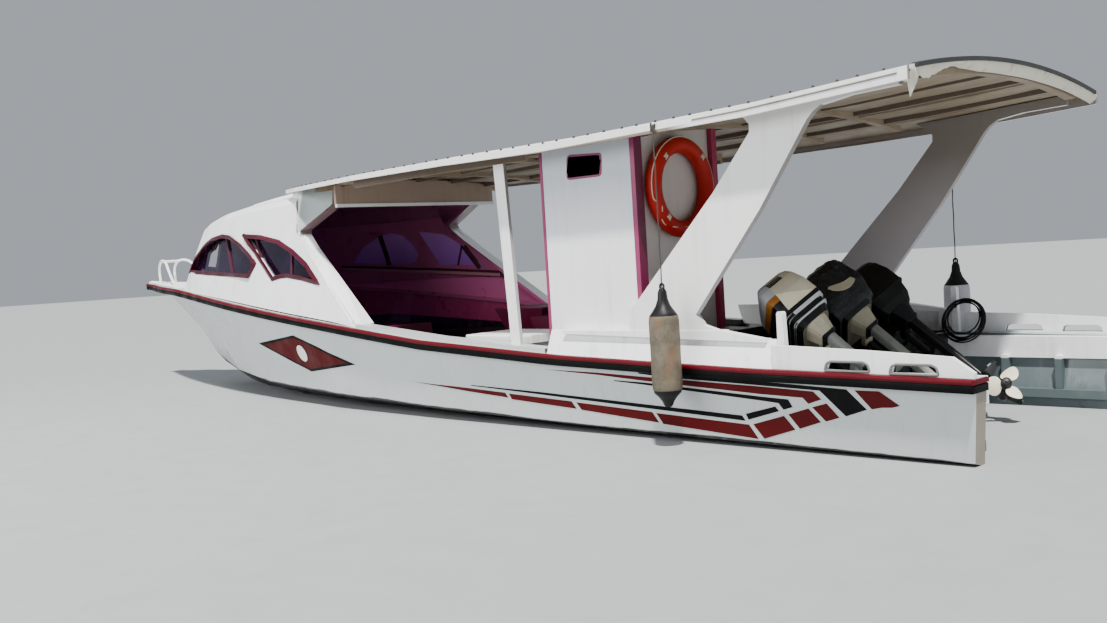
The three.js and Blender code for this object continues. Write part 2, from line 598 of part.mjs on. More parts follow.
// Fenders hang by a rope from the roof's edge boards
const FENDER_Y = 1439.3;
const FENDER_PROFILE = [[0, 225], [28, 240], [60, 300], [94, 345], [101, 420], [101, 800], [94, 865],
  [60, 915], [34, 990], [9, 1004]];
for (const [side, x, y] of [['port', 2010, FENDER_Y], ['starboard', 1360, -FENDER_Y]]) {
  const ropeTop = roofEdgeZ(x) - 12;
  const fender = new THREE.LatheGeometry(
    [...FENDER_PROFILE, [9, ropeTop], [0, ropeTop]].map(([radius, z]) => new THREE.Vector2(radius, z)), 16,
  ).rotateX(Math.PI / 2).translate(x, y, 0);
  add(boat, `fender_${side}`, fender, finish(0xa09a88, 0.8));
}

// Bow pulpit: an arched rail on each side and a crossbar at its front
const pulpitSide = tube([[11480, 105, 1201], [11485, 107, 1380], [11400, 122, 1470], [11200, 165, 1462],
  [11020, 215, 1330], [10780, 285, 1180]], 16, 8, 16);
const pulpitBar = rod([11400, -124, 1470], [11400, 124, 1470], 16, 8);
add(boat, 'bow_pulpit', join(pulpitSide, starboard(pulpitSide), pulpitBar), whitePaint());

// Seats and boards in the open cockpit
const BENCH_TOP = 520;
const bench = loft([4700, 5300, 6200, 7000, 7700].map((x) => {
  const inner = Math.min(640, sideY(x, ON_SOLE) - 420);
  return { x, ring: [[inner, ON_SOLE], [floorY(x, SOLE) - 12, ON_SOLE],
    [sideY(x, BENCH_TOP) - HULL_WALL - 12, BENCH_TOP], [inner, BENCH_TOP]] };
}));
addPair('side_bench', bench, maroonPaint);
add(boat, 'helm_seat', block(3700, 4250, -350, 350, ON_SOLE, 620), maroonPaint());

// White bench on two end panels, on the port side forward of the cubicle
const WHITE_BENCH = { aft: 3600, front: 4350, inner: 560, outer: 1110, low: 590, top: 645 };
const benchPanel = (x) => block(x, x + WALL, WHITE_BENCH.inner + 20, WHITE_BENCH.outer - 20, ON_SOLE,
  WHITE_BENCH.low + 10);
add(boat, 'white_bench', join(block(WHITE_BENCH.aft, WHITE_BENCH.front, WHITE_BENCH.inner,
  WHITE_BENCH.outer, WHITE_BENCH.low, WHITE_BENCH.top), benchPanel(3640), benchPanel(4280)), whitePaint());

// Hank of cable, a closed ring that leans against the starboard upright
const HANK_RADIUS = 150;
const HANK_THICKNESS = 44;
const HANK_LEAN = 0.36;
const HANK_FACES = 8;
const hankProfile = Array.from({ length: HANK_FACES + 1 }, (_, i) => {
  const turn = (i / HANK_FACES) * Math.PI * 2;
  return new THREE.Vector2(HANK_RADIUS + (HANK_THICKNESS / 2) * Math.cos(turn),
    (HANK_THICKNESS / 2) * Math.sin(turn));
});
const hank = new THREE.LatheGeometry(hankProfile, 24).rotateX(HANK_LEAN)
  .translate(1158.4, -1104.2, 580);
add(boat, 'cable_hank', hank, blackPlastic());

// Outboard engines. Each is modelled upright about its tilt pivot, with X forward
// and Z up, and its tilting group is then turned by TILT_ANGLE. The leg, cowl and
// propeller are also turned hard over about the steering axis by STEER_ANGLE.
const STEER_AXIS = -150;
const DRIVE_AXIS = -410;
const SHAFT_LEVEL = -800;
const PLATE_LEVEL = SHAFT_LEVEL + 150;
const PAN_FOOT = 139;
const PAN_TOP = 268;
const CHEEK_INNER = 62;
const CHEEK_OUTER = 80;

// Rounded rectangle ring of [x, y] points
function roundedRing(aft, front, half, radius) {
  const corners = [[front - radius, half - radius, 0], [aft + radius, half - radius, 1],
    [aft + radius, radius - half, 2], [front - radius, radius - half, 3]];
  return corners.flatMap(([x, y, quarter]) => [0, 0.5, 1].map((part) => {
    const turn = (quarter + part) * Math.PI / 2;
    return [x + radius * Math.cos(turn), y + radius * Math.sin(turn)];
  }));
}

// A loft whose stations run upward: [height, ring of [x, y] points]
function tower(levels) {
  const upward = new THREE.Matrix4().makeBasis(
    new THREE.Vector3(0, 0, 1), new THREE.Vector3(1, 0, 0), new THREE.Vector3(0, 1, 0),
  );
  return loft(levels.map(([x, ring]) => ({ x, ring }))).applyMatrix4(upward);
}

const cheekOutline = [[-122, -230], [-110.3, -230], [-110.3, -30 + GAP], [-50 + GAP, -30 + GAP],
  [-50 + GAP, -210], [0, -210], [18, -20], [18, 22], [-20, 30], [-122, -20]];
const tiltRod = rod([0, -CHEEK_OUTER - 12, 0], [0, CHEEK_OUTER + 12, 0], 12, 14);
const clampBracket = join(
  plate(cheekOutline, CHEEK_INNER, CHEEK_OUTER), plate(cheekOutline, -CHEEK_OUTER, -CHEEK_INNER),
  tiltRod,
  block(-30, 0, -CHEEK_OUTER, CHEEK_OUTER, -200, -150),
);

const steeringTube = rod([STEER_AXIS, 0, -190], [STEER_AXIS, 0, 40], 28, 14);
const swivelEye = join(rod([0, -54, 0], [0, 54, 0], 26, 14), block(STEER_AXIS, -5, -54, 54, -5, 22));
const swivelBracket = cut(join(steeringTube, swivelEye),
  rod([STEER_AXIS, 0, -250], [STEER_AXIS, 0, 90], 12.6, 14), rod([0, -90, 0], [0, 90, 0], 12.6, 14));

const kingpin = rod([STEER_AXIS, 0, -240], [STEER_AXIS, 0, 85], 12, 14);
const YOKE_REACH = 15;
const yoke = (low, high) => block(DRIVE_AXIS, STEER_AXIS + YOKE_REACH, -34, 34, low, high);
const pan = tower([
  [PAN_FOOT, roundedRing(-488, -90, 112, 50)], [190, roundedRing(-522, -50, 142, 60)],
  [PAN_TOP, roundedRing(-545, -28, 158, 66)],
]);
const midsection = tower([
  [PLATE_LEVEL - 2, roundedRing(DRIVE_AXIS - 42, DRIVE_AXIS + 62, 27, 25)],
  [15, roundedRing(DRIVE_AXIS - 45, DRIVE_AXIS + 70, 34, 28)],
  [20, roundedRing(DRIVE_AXIS - 52, DRIVE_AXIS + 110, 52, 34)],
  [PAN_FOOT + 6, roundedRing(DRIVE_AXIS - 78, DRIVE_AXIS + 150, 88, 50)],
]);
const cavitationPlate = tower([
  [PLATE_LEVEL - 5, roundedRing(DRIVE_AXIS - 230, DRIVE_AXIS + 70, 75, 60)],
  [PLATE_LEVEL + 5, roundedRing(DRIVE_AXIS - 230, DRIVE_AXIS + 70, 75, 60)],
]);
const strut = tower([
  [SHAFT_LEVEL - 10, roundedRing(DRIVE_AXIS - 75, DRIVE_AXIS + 55, 20, 18)],
  [PLATE_LEVEL + 8, roundedRing(DRIVE_AXIS - 75, DRIVE_AXIS + 52, 27, 25)],
]);
const skeg = plate([[DRIVE_AXIS - 85, SHAFT_LEVEL - 30], [DRIVE_AXIS + 20, SHAFT_LEVEL - 30],
  [DRIVE_AXIS - 60, SHAFT_LEVEL - 150], [DRIVE_AXIS - 110, SHAFT_LEVEL - 150]], -6, 6);
const gearcase = new THREE.LatheGeometry([[0, 0], [16, 6], [32, 35], [42, 80], [42, 150], [36, 195],
  [0, 195]].map(([radius, along]) => new THREE.Vector2(radius, along)), 14)
  .rotateZ(Math.PI / 2).translate(DRIVE_AXIS + 85, 0, SHAFT_LEVEL);
const HUB_AFT = DRIVE_AXIS - 210;
const propShaft = rod([HUB_AFT, 0, SHAFT_LEVEL], [DRIVE_AXIS - 90, 0, SHAFT_LEVEL], 9, 12);
const engineLeg = join(pan, midsection, cavitationPlate, strut, skeg, gearcase, kingpin,
  yoke(46, 84), yoke(-236, -196), propShaft);

const cowl = tower([
  [PAN_TOP + GAP, roundedRing(-545, -28, 158, 66)], [400, roundedRing(-538, -28, 158, 68)],
  [500, roundedRing(-508, -40, 146, 74)], [560, roundedRing(-472, -65, 124, 70)],
  [592, roundedRing(-420, -120, 86, 52)],
]);

const BLADE_REACH = 138;
const BLADE_WIDTH = 116;
const blade = new THREE.CylinderGeometry(1, 1, 9, 14).rotateX(Math.PI / 2)
  .scale(BLADE_WIDTH / 2, BLADE_REACH / 2, 1).translate(0, BLADE_REACH / 2, 0);
const HUB_FRONT = DRIVE_AXIS - 114;
const hub = rod([HUB_AFT + 8, 0, SHAFT_LEVEL], [HUB_FRONT, 0, SHAFT_LEVEL], 36, 16);
const blades = [0, 1, 2].map((i) => blade.clone().rotateY(Math.PI / 2 - 0.55)
  .rotateX(i * Math.PI * 2 / 3).translate((HUB_AFT + HUB_FRONT) / 2, 0, SHAFT_LEVEL));
const propeller = cut(join(hub, ...blades),
  rod([HUB_AFT - 50, 0, SHAFT_LEVEL], [HUB_FRONT + 50, 0, SHAFT_LEVEL], 9.8, 12));

// Engines: [name, distance to port, cowl finish]
const ENGINES = [
  ['port', ENGINE_SPACING, creamPlastic],
  ['centre', 0, blackPlastic],
  ['starboard', -ENGINE_SPACING, blackPlastic],
];
for (const [side, y, cowlFinish] of ENGINES) {
  const mounting = new THREE.Group();
  mounting.position.set(TILT_PIVOT_X, y, TILT_PIVOT_Z);
  const tilting = new THREE.Group();
  tilting.rotation.y = TILT_ANGLE;
  mounting.add(tilting);
  boat.add(mounting);
  const steering = new THREE.Group();
  steering.position.x = STEER_AXIS;
  steering.rotation.z = STEER_ANGLE;
  tilting.add(steering);
  const turned = (geometry) => geometry.clone().translate(-STEER_AXIS, 0, 0);
  add(mounting, `clamp_bracket_${side}`, clampBracket, metalGrey());
  add(tilting, `swivel_bracket_${side}`, swivelBracket, metalGrey());
  add(steering, `engine_leg_${side}`, turned(engineLeg), blackPlastic());
  add(steering, `cowl_${side}`, turned(cowl), cowlFinish());
  add(steering, `propeller_${side}`, turned(propeller), creamPlastic());
}

boat.position.set(-AMIDSHIPS, 0, -WATERLINE);

export default boat;
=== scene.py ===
# Open passenger speedboat: a white hull with painted stripes, a domed bow
# cabin, a long arched canopy, a cubicle amidships and three tilted outboards.
# Metres, +X forward, +Y to port, Z = 0 at the waterline.

import math

import bmesh
import bpy
from mathutils import Matrix, Vector
from mathutils.bvhtree import BVHTree
from mathutils.geometry import interpolate_bezier


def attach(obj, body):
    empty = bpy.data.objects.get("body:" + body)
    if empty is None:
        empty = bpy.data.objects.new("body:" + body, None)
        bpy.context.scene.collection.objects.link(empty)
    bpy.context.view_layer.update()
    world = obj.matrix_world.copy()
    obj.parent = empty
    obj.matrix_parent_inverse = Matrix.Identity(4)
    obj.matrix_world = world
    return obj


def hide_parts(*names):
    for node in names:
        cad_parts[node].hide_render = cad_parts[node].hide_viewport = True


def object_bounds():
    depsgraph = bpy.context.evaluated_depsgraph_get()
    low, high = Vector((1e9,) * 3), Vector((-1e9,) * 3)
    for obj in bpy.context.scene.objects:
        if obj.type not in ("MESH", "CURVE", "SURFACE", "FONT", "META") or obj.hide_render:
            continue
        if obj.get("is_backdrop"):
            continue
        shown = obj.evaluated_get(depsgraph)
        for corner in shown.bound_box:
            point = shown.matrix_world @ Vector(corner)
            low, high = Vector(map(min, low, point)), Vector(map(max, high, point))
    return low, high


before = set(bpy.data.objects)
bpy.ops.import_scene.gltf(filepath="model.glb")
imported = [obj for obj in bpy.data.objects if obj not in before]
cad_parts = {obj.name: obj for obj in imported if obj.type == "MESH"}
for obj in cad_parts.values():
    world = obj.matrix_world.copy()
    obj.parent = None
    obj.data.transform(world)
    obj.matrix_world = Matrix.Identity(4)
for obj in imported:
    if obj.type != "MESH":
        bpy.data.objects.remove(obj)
cad_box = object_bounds()

# ---------------------------------------------------------------- viewpoint, floor, light
# A low, near view from the port quarter, a plain pale floor at the waterline,
# and a high soft sun from port with a pale sky as fill.
camera = bpy.data.objects.new("camera", bpy.data.cameras.new("camera"))
camera.data.lens = 37.398
camera.data.sensor_width = 36
camera.matrix_world = Matrix((
    (-0.7145, -0.00795, -0.6996, -8.7263),
    (-0.6969, -0.08096, 0.7126, 7.284),
    (-0.0623, 0.99665, 0.0523, 1.3402),
    (0, 0, 0, 1),
))
bpy.context.collection.objects.link(camera)
bpy.context.scene.camera = camera

sun = bpy.data.objects.new("sun", bpy.data.lights.new("sun", "SUN"))
sun.data.energy = 7.6
sun.data.angle = math.radians(3)
sun.data.color = (1.0, 0.975, 0.94)
sun.matrix_world = Vector((-0.9, 1.0, 2.7)).to_track_quat("Z", "Y").to_matrix().to_4x4()
bpy.context.collection.objects.link(sun)

panel = bpy.data.objects.new("panel", bpy.data.lights.new("panel", "AREA"))
panel.data.shape = "RECTANGLE"
panel.data.size, panel.data.size_y = 9, 4
panel.data.energy = 700
panel.matrix_world = Matrix.Translation((1.0, 10.0, 4.4)) @ Vector((0, 1, 0.36)).to_track_quat(
    "Z", "Y").to_matrix().to_4x4()
bpy.context.collection.objects.link(panel)

sky = bpy.data.worlds.new("sky")
sky.use_nodes = True
sky.node_tree.nodes["Background"].inputs["Color"].default_value = (0.78, 0.85, 0.93, 1)
sky.node_tree.nodes["Background"].inputs["Strength"].default_value = 0.5
bpy.context.scene.world = sky


def linear(code):
    """A paint's colour from its web code, in linear light."""
    parts = [int(code[i:i + 2], 16) / 255 for i in (0, 2, 4)]
    return tuple(c / 12.92 if c < 0.04045 else ((c + 0.055) / 1.055) ** 2.4 for c in parts) + (1,)


def new_piece(name, bm, material, body="boat", slot=None, smooth=None):
    """Links a finished bmesh as a piece that rides on a body."""
    mesh = bpy.data.meshes.new(name)
    bmesh.ops.remove_doubles(bm, verts=bm.verts, dist=1e-5)
    bmesh.ops.recalc_face_normals(bm, faces=bm.faces)
    bm.to_mesh(mesh)
    bm.free()
    piece = bpy.data.objects.new(name, mesh)
    bpy.context.collection.objects.link(piece)
    mesh.materials.append(material)
    if smooth is not None:
        mesh.shade_smooth()
        mesh.set_sharp_from_angle(angle=math.radians(smooth))
    if body:
        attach(piece, body)
    return piece


def shader(name, rough, metal=0.0, coat=0.0):
    """A new material with its surface shader and a helper that adds linked nodes."""
    material = bpy.data.materials.new(name)
    material.use_nodes = True
    tree = material.node_tree
    surface = tree.nodes["Principled BSDF"]
    surface.inputs["Roughness"].default_value = rough
    surface.inputs["Metallic"].default_value = metal
    surface.inputs["Coat Weight"].default_value = coat

    def node(kind, values=None, **settings):
        made = tree.nodes.new("ShaderNode" + kind)
        for key, value in settings.items():
            setattr(made, key, value)
        for key, value in (values or {}).items():
            if isinstance(value, bpy.types.NodeSocket):
                tree.links.new(value, made.inputs[key])
            else:
                made.inputs[key].default_value = value
        return made.outputs

    return material, surface, node, tree.links.new


def noise(node, at, scale, detail=4.0, rough=0.55, stretch=None):
    """A noise pattern on object coordinates, stretched along the given axes."""
    if stretch:
        at = node("Mapping", {"Vector": at, "Scale": stretch})[0]
    return node("TexNoise", {"Vector": at, "Scale": scale, "Detail": detail, "Roughness": rough})[0]


def fade(node, value, low, high, to_low=0.0, to_high=1.0):
    """Maps a value from one range to another, clamped."""
    return node("MapRange", {"Value": value, "From Min": low, "From Max": high,
                             "To Min": to_low, "To Max": to_high})[0]


def blend(node, factor, first, second):
    """Mixes two colours."""
    mixed = node("Mix", data_type="RGBA", blend_type="MIX")
    owner = mixed[2].node
    for socket, value in ((0, factor), (6, first), (7, second)):
        if isinstance(value, bpy.types.NodeSocket):
            owner.id_data.links.new(value, owner.inputs[socket])
        else:
            owner.inputs[socket].default_value = value
    return mixed[2]


def coated(node, tone, share, code):
    """Lays a further coat of paint over a tone, where share says."""
    return blend(node, share, tone, linear(code))


def weathered(name, colour, rough=0.42, dirt="756f60", grime=0.35, mottle=0.5, streaks=0.35,
              coat=0.0, bump=0.5, shine=0.5, extra=None):
    """Paint that has chalked, run with rain streaks and picked up grime and scuffs."""
    material, surface, node, link = shader(name, rough, coat=coat)
    surface.inputs["Specular IOR Level"].default_value = shine
    at = node("TexCoord")[3]
    base = linear(colour)
    darker = tuple(c * 0.82 for c in base[:3]) + (1,)
    tone = blend(node, fade(node, noise(node, at, 1.3), 0.42, 0.72, 0, mottle), base, darker)
    if extra:
        tone = extra(node, at, tone)
    runs = noise(node, at, 1.0, 3, 0.6, (14, 14, 0.9))
    tone = coated(node, tone, fade(node, runs, 0.55, 0.78, 0, streaks), dirt)
    patches = noise(node, at, 3.1, 8, 0.68)
    tone = coated(node, tone, fade(node, patches, 0.56, 0.8, 0, grime), dirt)
    specks = noise(node, at, 75, 3, 0.6)
    tone = coated(node, tone, fade(node, specks, 0.66, 0.76, 0, grime * 0.8), "4b463c")
    link(tone, surface.inputs["Base Color"])
    worn = fade(node, noise(node, at, 4.3, 6), 0.3, 0.75, rough - 0.12, min(rough + 0.28, 1))
    link(worn, surface.inputs["Roughness"])
    fine = node("Bump", {"Height": noise(node, at, 240, 2), "Strength": bump * 0.35,
                         "Distance": 0.0006})[0]
    wavy = node("Bump", {"Height": noise(node, at, 5.5, 2), "Strength": bump, "Distance": 0.004,
                         "Normal": fine})[0]
    link(wavy, surface.inputs["Normal"])
    return material


floor_paint = weathered("floor_paint", "9da1a2", 0.7, grime=0, mottle=0.12, streaks=0, bump=0.1)
floor_mesh = bmesh.new()
bmesh.ops.create_circle(floor_mesh, cap_ends=True, segments=64, radius=70)
floor = new_piece("floor", floor_mesh, floor_paint, body=None)
floor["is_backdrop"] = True

# ---------------------------------------------------------------- cable hank
# Seven turns of black starting cable, 11 mm thick, hung in a ring against the
# starboard upright; both ends pass into the upright towards the battery box.
CABLE = 0.011
HANK_TURNS = 7
HANK_RADIUS = 0.15
HANK_LEAN = 0.36
STRAND_RING = 0.0152
SLACK = 0.022
LEAD = 0.3  # radians that each end runs on past the turns, standing off the ring
STAND_OFF = 0.028
START, END = 0.85, 0.6 + 2 * math.pi * HANK_TURNS
hank_centre = Vector((-4.8416, -1.1042, 0.63))
hank_up = Vector((0, -math.sin(HANK_LEAN), math.cos(HANK_LEAN)))
hank_side = Vector((0, -math.cos(HANK_LEAN), -math.sin(HANK_LEAN)))


def strand_point(turn):
    """The cable's centre at an angle round the hank, led out at both ends."""
    outward = math.cos(turn) * Vector((1, 0, 0)) + math.sin(turn) * hank_up
    slack = SLACK * math.sin(turn * 0.31) * (1 - math.sin(turn)) / 2
    slot_angle = (turn - START) / (HANK_TURNS + 1)
    past = max(START - turn, turn - END, 0) / LEAD
    across = STRAND_RING * math.cos(slot_angle) + STAND_OFF * past ** 2
    return (hank_centre + outward * (HANK_RADIUS + slack + STRAND_RING * math.sin(slot_angle))
            + hank_side * across)


def tube_along(name, points, radius, material, cyclic=False, sides=3):
    """A round tube on a smooth curve through the points."""
    curve = bpy.data.curves.new(name, "CURVE")
    curve.dimensions = "3D"
    curve.bevel_depth = radius
    curve.bevel_resolution = sides
    curve.use_fill_caps = True
    curve.resolution_u = 3
    spline = curve.splines.new("NURBS")
    spline.points.add(len(points) - 1)
    for corner, point in zip(spline.points, points):
        corner.co = (*point, 1)
    spline.order_u = 3
    spline.use_endpoint_u = not cyclic
    spline.use_cyclic_u = cyclic
    piece = bpy.data.objects.new(name, curve)
    bpy.context.collection.objects.link(piece)
    curve.materials.append(material)
    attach(piece, "boat")
    return piece


cable_black = weathered("cable_black", "0a0a0b", 0.5, dirt="2a2724", grime=0.3, mottle=0.3,
                        streaks=0.1, bump=0.2, shine=0.3)
steps = HANK_TURNS * 28
turns = ([START - LEAD * (1 - i / 5) for i in range(5)]
         + [START + (END - START) * i / steps for i in range(steps + 1)]
         + [END + LEAD * (i + 1) / 5 for i in range(5)])
route = [strand_point(turn) for turn in turns]
route_length = sum((b - a).length for a, b in zip(route, route[1:]))
cable = tube_along("starting_cable", route, CABLE / 2, cable_black, sides=2)
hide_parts("cable_hank")
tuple(route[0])

# ---------------------------------------------------------------- hull and decks
# The shell of laminated wood: pale grey-white paint, chalked and streaked, its grey-green cast
# partly painted shade and painted water reflection on the down-facing topsides, with black
# bottom paint from the chine down. Deck parts are painted a brighter white.

# The chine's rows are (share of the length from the stern, height).
CHINE = [(0.0, 0.022), (0.06, 0.038), (0.12, 0.058), (0.24, 0.064), (0.39, 0.11), (0.52, 0.15),
         (0.645, 0.19), (0.74, 0.23), (0.8, 0.29), (0.847, 0.37), (0.87, 0.55), (0.9, 0.72)]
HULL_LENGTH = 11.94
STERN = -6.0


def maths(node, operation, *values):
    """A number worked out from one or two others."""
    return node("Math", dict(enumerate(values)), operation=operation)[0]


def faced(node):
    """Which way a face looks, as the x, y and z of its normal."""
    return node("SeparateXYZ", {"Vector": node("NewGeometry")["True Normal"]})


def faced_outboard(node, place, facing):
    """How far a face looks away from the boat's middle; below zero it looks inboard."""
    return maths(node, "MULTIPLY", maths(node, "SIGN", place[1]), facing[1])


def bottom_paint(node, at, tone):
    """Black bottom, maroon inside, grey-green well skin, beige arm ends; near black painted shade
    below the cabin's sill, in the well and on the transom.
    """
    place = node("SeparateXYZ", {"Vector": at})
    ramp = node("ValToRGB", {"Fac": fade(node, place[0], STERN, STERN + HULL_LENGTH)})
    stops = ramp[0].node.color_ramp.elements
    while len(stops) < len(CHINE):
        stops.new(0.5)
    for stop, (along, height) in zip(stops, CHINE):
        stop.position = along
        stop.color = (height, height, height, 1)
    wave = fade(node, noise(node, at, 2.2, 3), 0.3, 0.7, -0.006, 0.006)
    below = maths(node, "ADD", maths(node, "SUBTRACT", ramp[0], place[2]), wave)
    tone = coated(node, tone, fade(node, below, -0.003, 0.003), "050506")
    facing = faced(node)
    inward = fade(node, faced_outboard(node, place, facing), -0.1, -0.2)
    inside = maths(node, "MULTIPLY", inward, fade(node, place[0], -2.32, -2.3))
    tone = coated(node, tone, inside, "a03060")
    # Near black below the sill of the cabin's walls: painted shade under the benches.
    sill = maths(node, "SUBTRACT", place[2], fade(node, place[0], 0.24, 1.9, 0.62, 0.735))
    foot = maths(node, "MULTIPLY", inside, fade(node, sill, 0.0, -0.01))
    tone = coated(node, tone, foot, "0a0406")
    # Black in the well forward of the grey-green skin: painted shade under the engines.
    well = maths(node, "MULTIPLY", inward, fade(node, place[0], -2.3, -2.32))
    skin = coated(node, linear("0b0b0c"), fade(node, place[0], -4.7, -4.72), "5f6c70")
    tone = blend(node, well, tone, skin)
    aft_faces = fade(node, facing[0], -0.5, -0.8)
    tone = coated(node, tone, aft_faces, "8c8070")
    # Aft faces further forward, the transom's, are black: painted shade under the engines.
    transom_shade = maths(node, "MULTIPLY", aft_faces, fade(node, place[0], -5.5, -5.4))
    return coated(node, tone, transom_shade, "0b0b0c")


# The hull's base is greyer than the deck's: painted shade and a greenish painted reflection of the
# water.
hull_white = weathered("hull_white", "c6cccb", 0.3, dirt="9a998d", grime=0.2, mottle=0.18,
                       streaks=0.22, coat=0.2, extra=bottom_paint)
deck_white = weathered("deck_white", "f6f7f8", 0.4, dirt="a39d90", grime=0.25, mottle=0.12,
                       streaks=0.25)
trim_white = weathered("trim_white", "f7f7f5", 0.38, dirt="a39d90", grime=0.25, mottle=0.12,
                       streaks=0.2, bump=0.3)


def paint_node(names, material):
    """Gives CAD nodes their finish."""
    for name in names:
        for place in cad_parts[name].material_slots:
            place.material = material


def pair(name):
    """The port and the starboard node of a name."""
    return [name + "_port", name + "_starboard"]


paint_node(["hull"], hull_white)
paint_node(pair("bulwark") + pair("coaming") + ["foredeck"], deck_white)
# The well's bulkhead is near black: painted shade under the engines.
paint_node(["well_bulkhead"], weathered("well_painted_shade", "0c0c0d", 0.6, dirt="2a2724", shine=0.3))

# ---------------------------------------------------------------- painted stripes
# Red and black flashes sprayed on the topsides, sweeping down towards the stern and
# broken by slanted gaps, with a plain oval on a lozenge forward. Outlines are (x, z).
RED_STRIPES = [
    [(-1.06, .311), (-1.636, .293), (-2.201, .268), (-2.228, .229), (-1.767, .259), (-1.414, .288)],
    [(-2.241, .263), (-2.912, .234), (-2.95, .179), (-2.264, .218)],
    [(-2.958, .229), (-3.671, .195), (-3.716, .122), (-2.999, .174)],
    [(-3.705, .19), (-4.466, .156), (-4.522, .064), (-3.751, .115)],
    [(-4.499, .161), (-4.741, .23), (-4.809, .145), (-4.566, .069)],
    [(-4.776, .242), (-4.927, .288), (-5.0, .205), (-4.843, .153)],
    [(-4.955, .297), (-5.06, .326), (-5.133, .241), (-5.037, .211)],
    [(-2.691, .469), (-3.217, .461), (-3.656, .444), (-4.601, .414), (-4.979, .397), (-5.028, .349),
     (-4.932, .317), (-4.899, .354), (-4.591, .364), (-3.649, .416), (-3.213, .445)],
    [(-5.262, .416), (-5.422, .416), (-5.539, .335), (-5.49, .322), (-5.42, .318), (-5.357, .305)],
]
BLACK_STRIPES = [
    [(-1.813, .314), (-2.597, .291), (-4.423, .214), (-4.444, .18), (-2.592, .272), (-1.811, .308)],
    [(-3.375, .41), (-3.646, .404), (-4.588, .348), (-4.792, .338), (-4.816, .29), (-4.746, .27),
     (-4.717, .311), (-4.582, .322), (-3.642, .388), (-3.373, .404)],
    [(-4.455, .227), (-4.688, .288), (-4.711, .259), (-4.469, .189)],
    [(-3.613, .473), (-3.912, .465), (-4.457, .453), (-5.208, .419), (-5.324, .301), (-5.179, .252),
     (-5.026, .404), (-4.451, .426), (-3.908, .445), (-3.611, .465)],
]
LOZENGE = [(1.712, .586), (.833, .688), (-.222, .435), (.658, .333)]
OVAL = [(.707, .433), (.677, .449), (.661, .478), (.662, .513), (.68, .547), (.711, .575),
        (.749, .59), (.787, .589), (.818, .573), (.834, .545), (.834, .509), (.816, .474),
        (.784, .447), (.746, .432)]
FACET = 0.07


def surface_of(piece):
    """A ray caster on a piece's own surface."""
    mesh = piece.data
    return BVHTree.FromPolygons([v.co for v in mesh.vertices], [p.vertices for p in mesh.polygons])


hull_surface = surface_of(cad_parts["hull"])


def sprayed(name, outlines, material, lift, slot):
    """A film of paint: outlines cut into small facets and laid on both topsides."""
    bm = bmesh.new()
    for outline in outlines:
        bm.faces.new([bm.verts.new((x, 0, z)) for x, z in outline])
    reach = [v.co.x for v in bm.verts]
    x = min(reach) + FACET
    while x < max(reach):
        bmesh.ops.bisect_plane(bm, geom=bm.verts[:] + bm.edges[:] + bm.faces[:],
                               plane_co=(x, 0, 0), plane_no=(1, 0, 0))
        x += FACET
    bmesh.ops.triangulate(bm, faces=bm.faces[:])
    copy = bmesh.ops.duplicate(bm, geom=bm.verts[:] + bm.edges[:] + bm.faces[:])["geom"]
    twins = {v for v in copy if isinstance(v, bmesh.types.BMVert)}
    for vertex in bm.verts:
        side = -1 if vertex in twins else 1
        hit, normal, _, _ = hull_surface.ray_cast(Vector((vertex.co.x, 2 * side, vertex.co.z)),
                                                  Vector((0, -side, 0)))
        vertex.co = hit + normal * lift
    bmesh.ops.solidify(bm, geom=bm.faces[:], thickness=0.0004)
    return new_piece(name, bm, material, slot=slot)


stripe_red = weathered("stripe_red", "500004", 0.5, dirt="30090c", grime=0.15, mottle=0.25,
                       streaks=0.05, shine=0.15)
stripe_black = weathered("stripe_black", "020203", 0.5, dirt="141210", grime=0.3, mottle=0.3,
                         streaks=0.2, shine=0.12)
sprayed("stripes_red", RED_STRIPES, stripe_red, 0.0016, "maroon_paint")
sprayed("stripes_black", BLACK_STRIPES, stripe_black, 0.0016, "black_cable")
middle = Vector((sum(x for x, _ in LOZENGE) / 4, sum(z for _, z in LOZENGE) / 4))
for name, size, finish, lift, slot in (("lozenge_border", 1.0, stripe_black, 0.0012, "black_cable"),
                                       ("lozenge_field", 0.86, stripe_red, 0.0022, "maroon_paint")):
    corners = [middle + (Vector(corner) - middle) * size for corner in LOZENGE]
    sprayed(name, [[tuple(c) for c in corners]], finish, lift, slot)
sprayed("lozenge_oval", [OVAL], trim_white, 0.0042, "white_paint")

# ---------------------------------------------------------------- rub rails
# A rounded red rubbing strake with a black band below it, bolted along the sheer of
# both sides and turned round the ends of the stern arms.
SHEER = [(-6.0, 0.507), (-4.5, 0.532), (-2.8, 0.587), (-1.3, 0.677), (0.2, 0.827), (1.7, 0.967),
         (2.9, 1.077), (3.6, 1.135), (4.16, 1.171), (4.38, 1.18), (4.85, 1.194), (5.3, 1.212),
         (5.7, 1.23), (5.94, 1.242)]
RAIL_DEPTH = 0.078
RED_DEPTH = 0.03


def between(table, x):
    """A value read from a table of (x, value) rows."""
    for (x0, v0), (x1, v1) in zip(table, table[1:]):
        if x <= x1:
            return v0 + (v1 - v0) * max(x - x0, 0) / (x1 - x0)
    return table[-1][1]


def half_beam(x):
    """The hull's half-breadth at the sheer."""
    forward = max((x + 1.5) / 7.44, 0)
    return max(1.3 * (1 - forward ** 2.2), 0.045)


def hull_side(x, z):
    """The port side's half-breadth at a height, read off the hull itself."""
    hit = hull_surface.ray_cast(Vector((x, 2, z)), Vector((0, -1, 0)))[0]
    return hit.y if hit else half_beam(x)


def both_sides(bm):
    """Adds the mirror image across the boat's centreline."""
    bmesh.ops.mirror(bm, geom=bm.verts[:] + bm.edges[:] + bm.faces[:], axis="Y", merge_dist=0)
    return bm


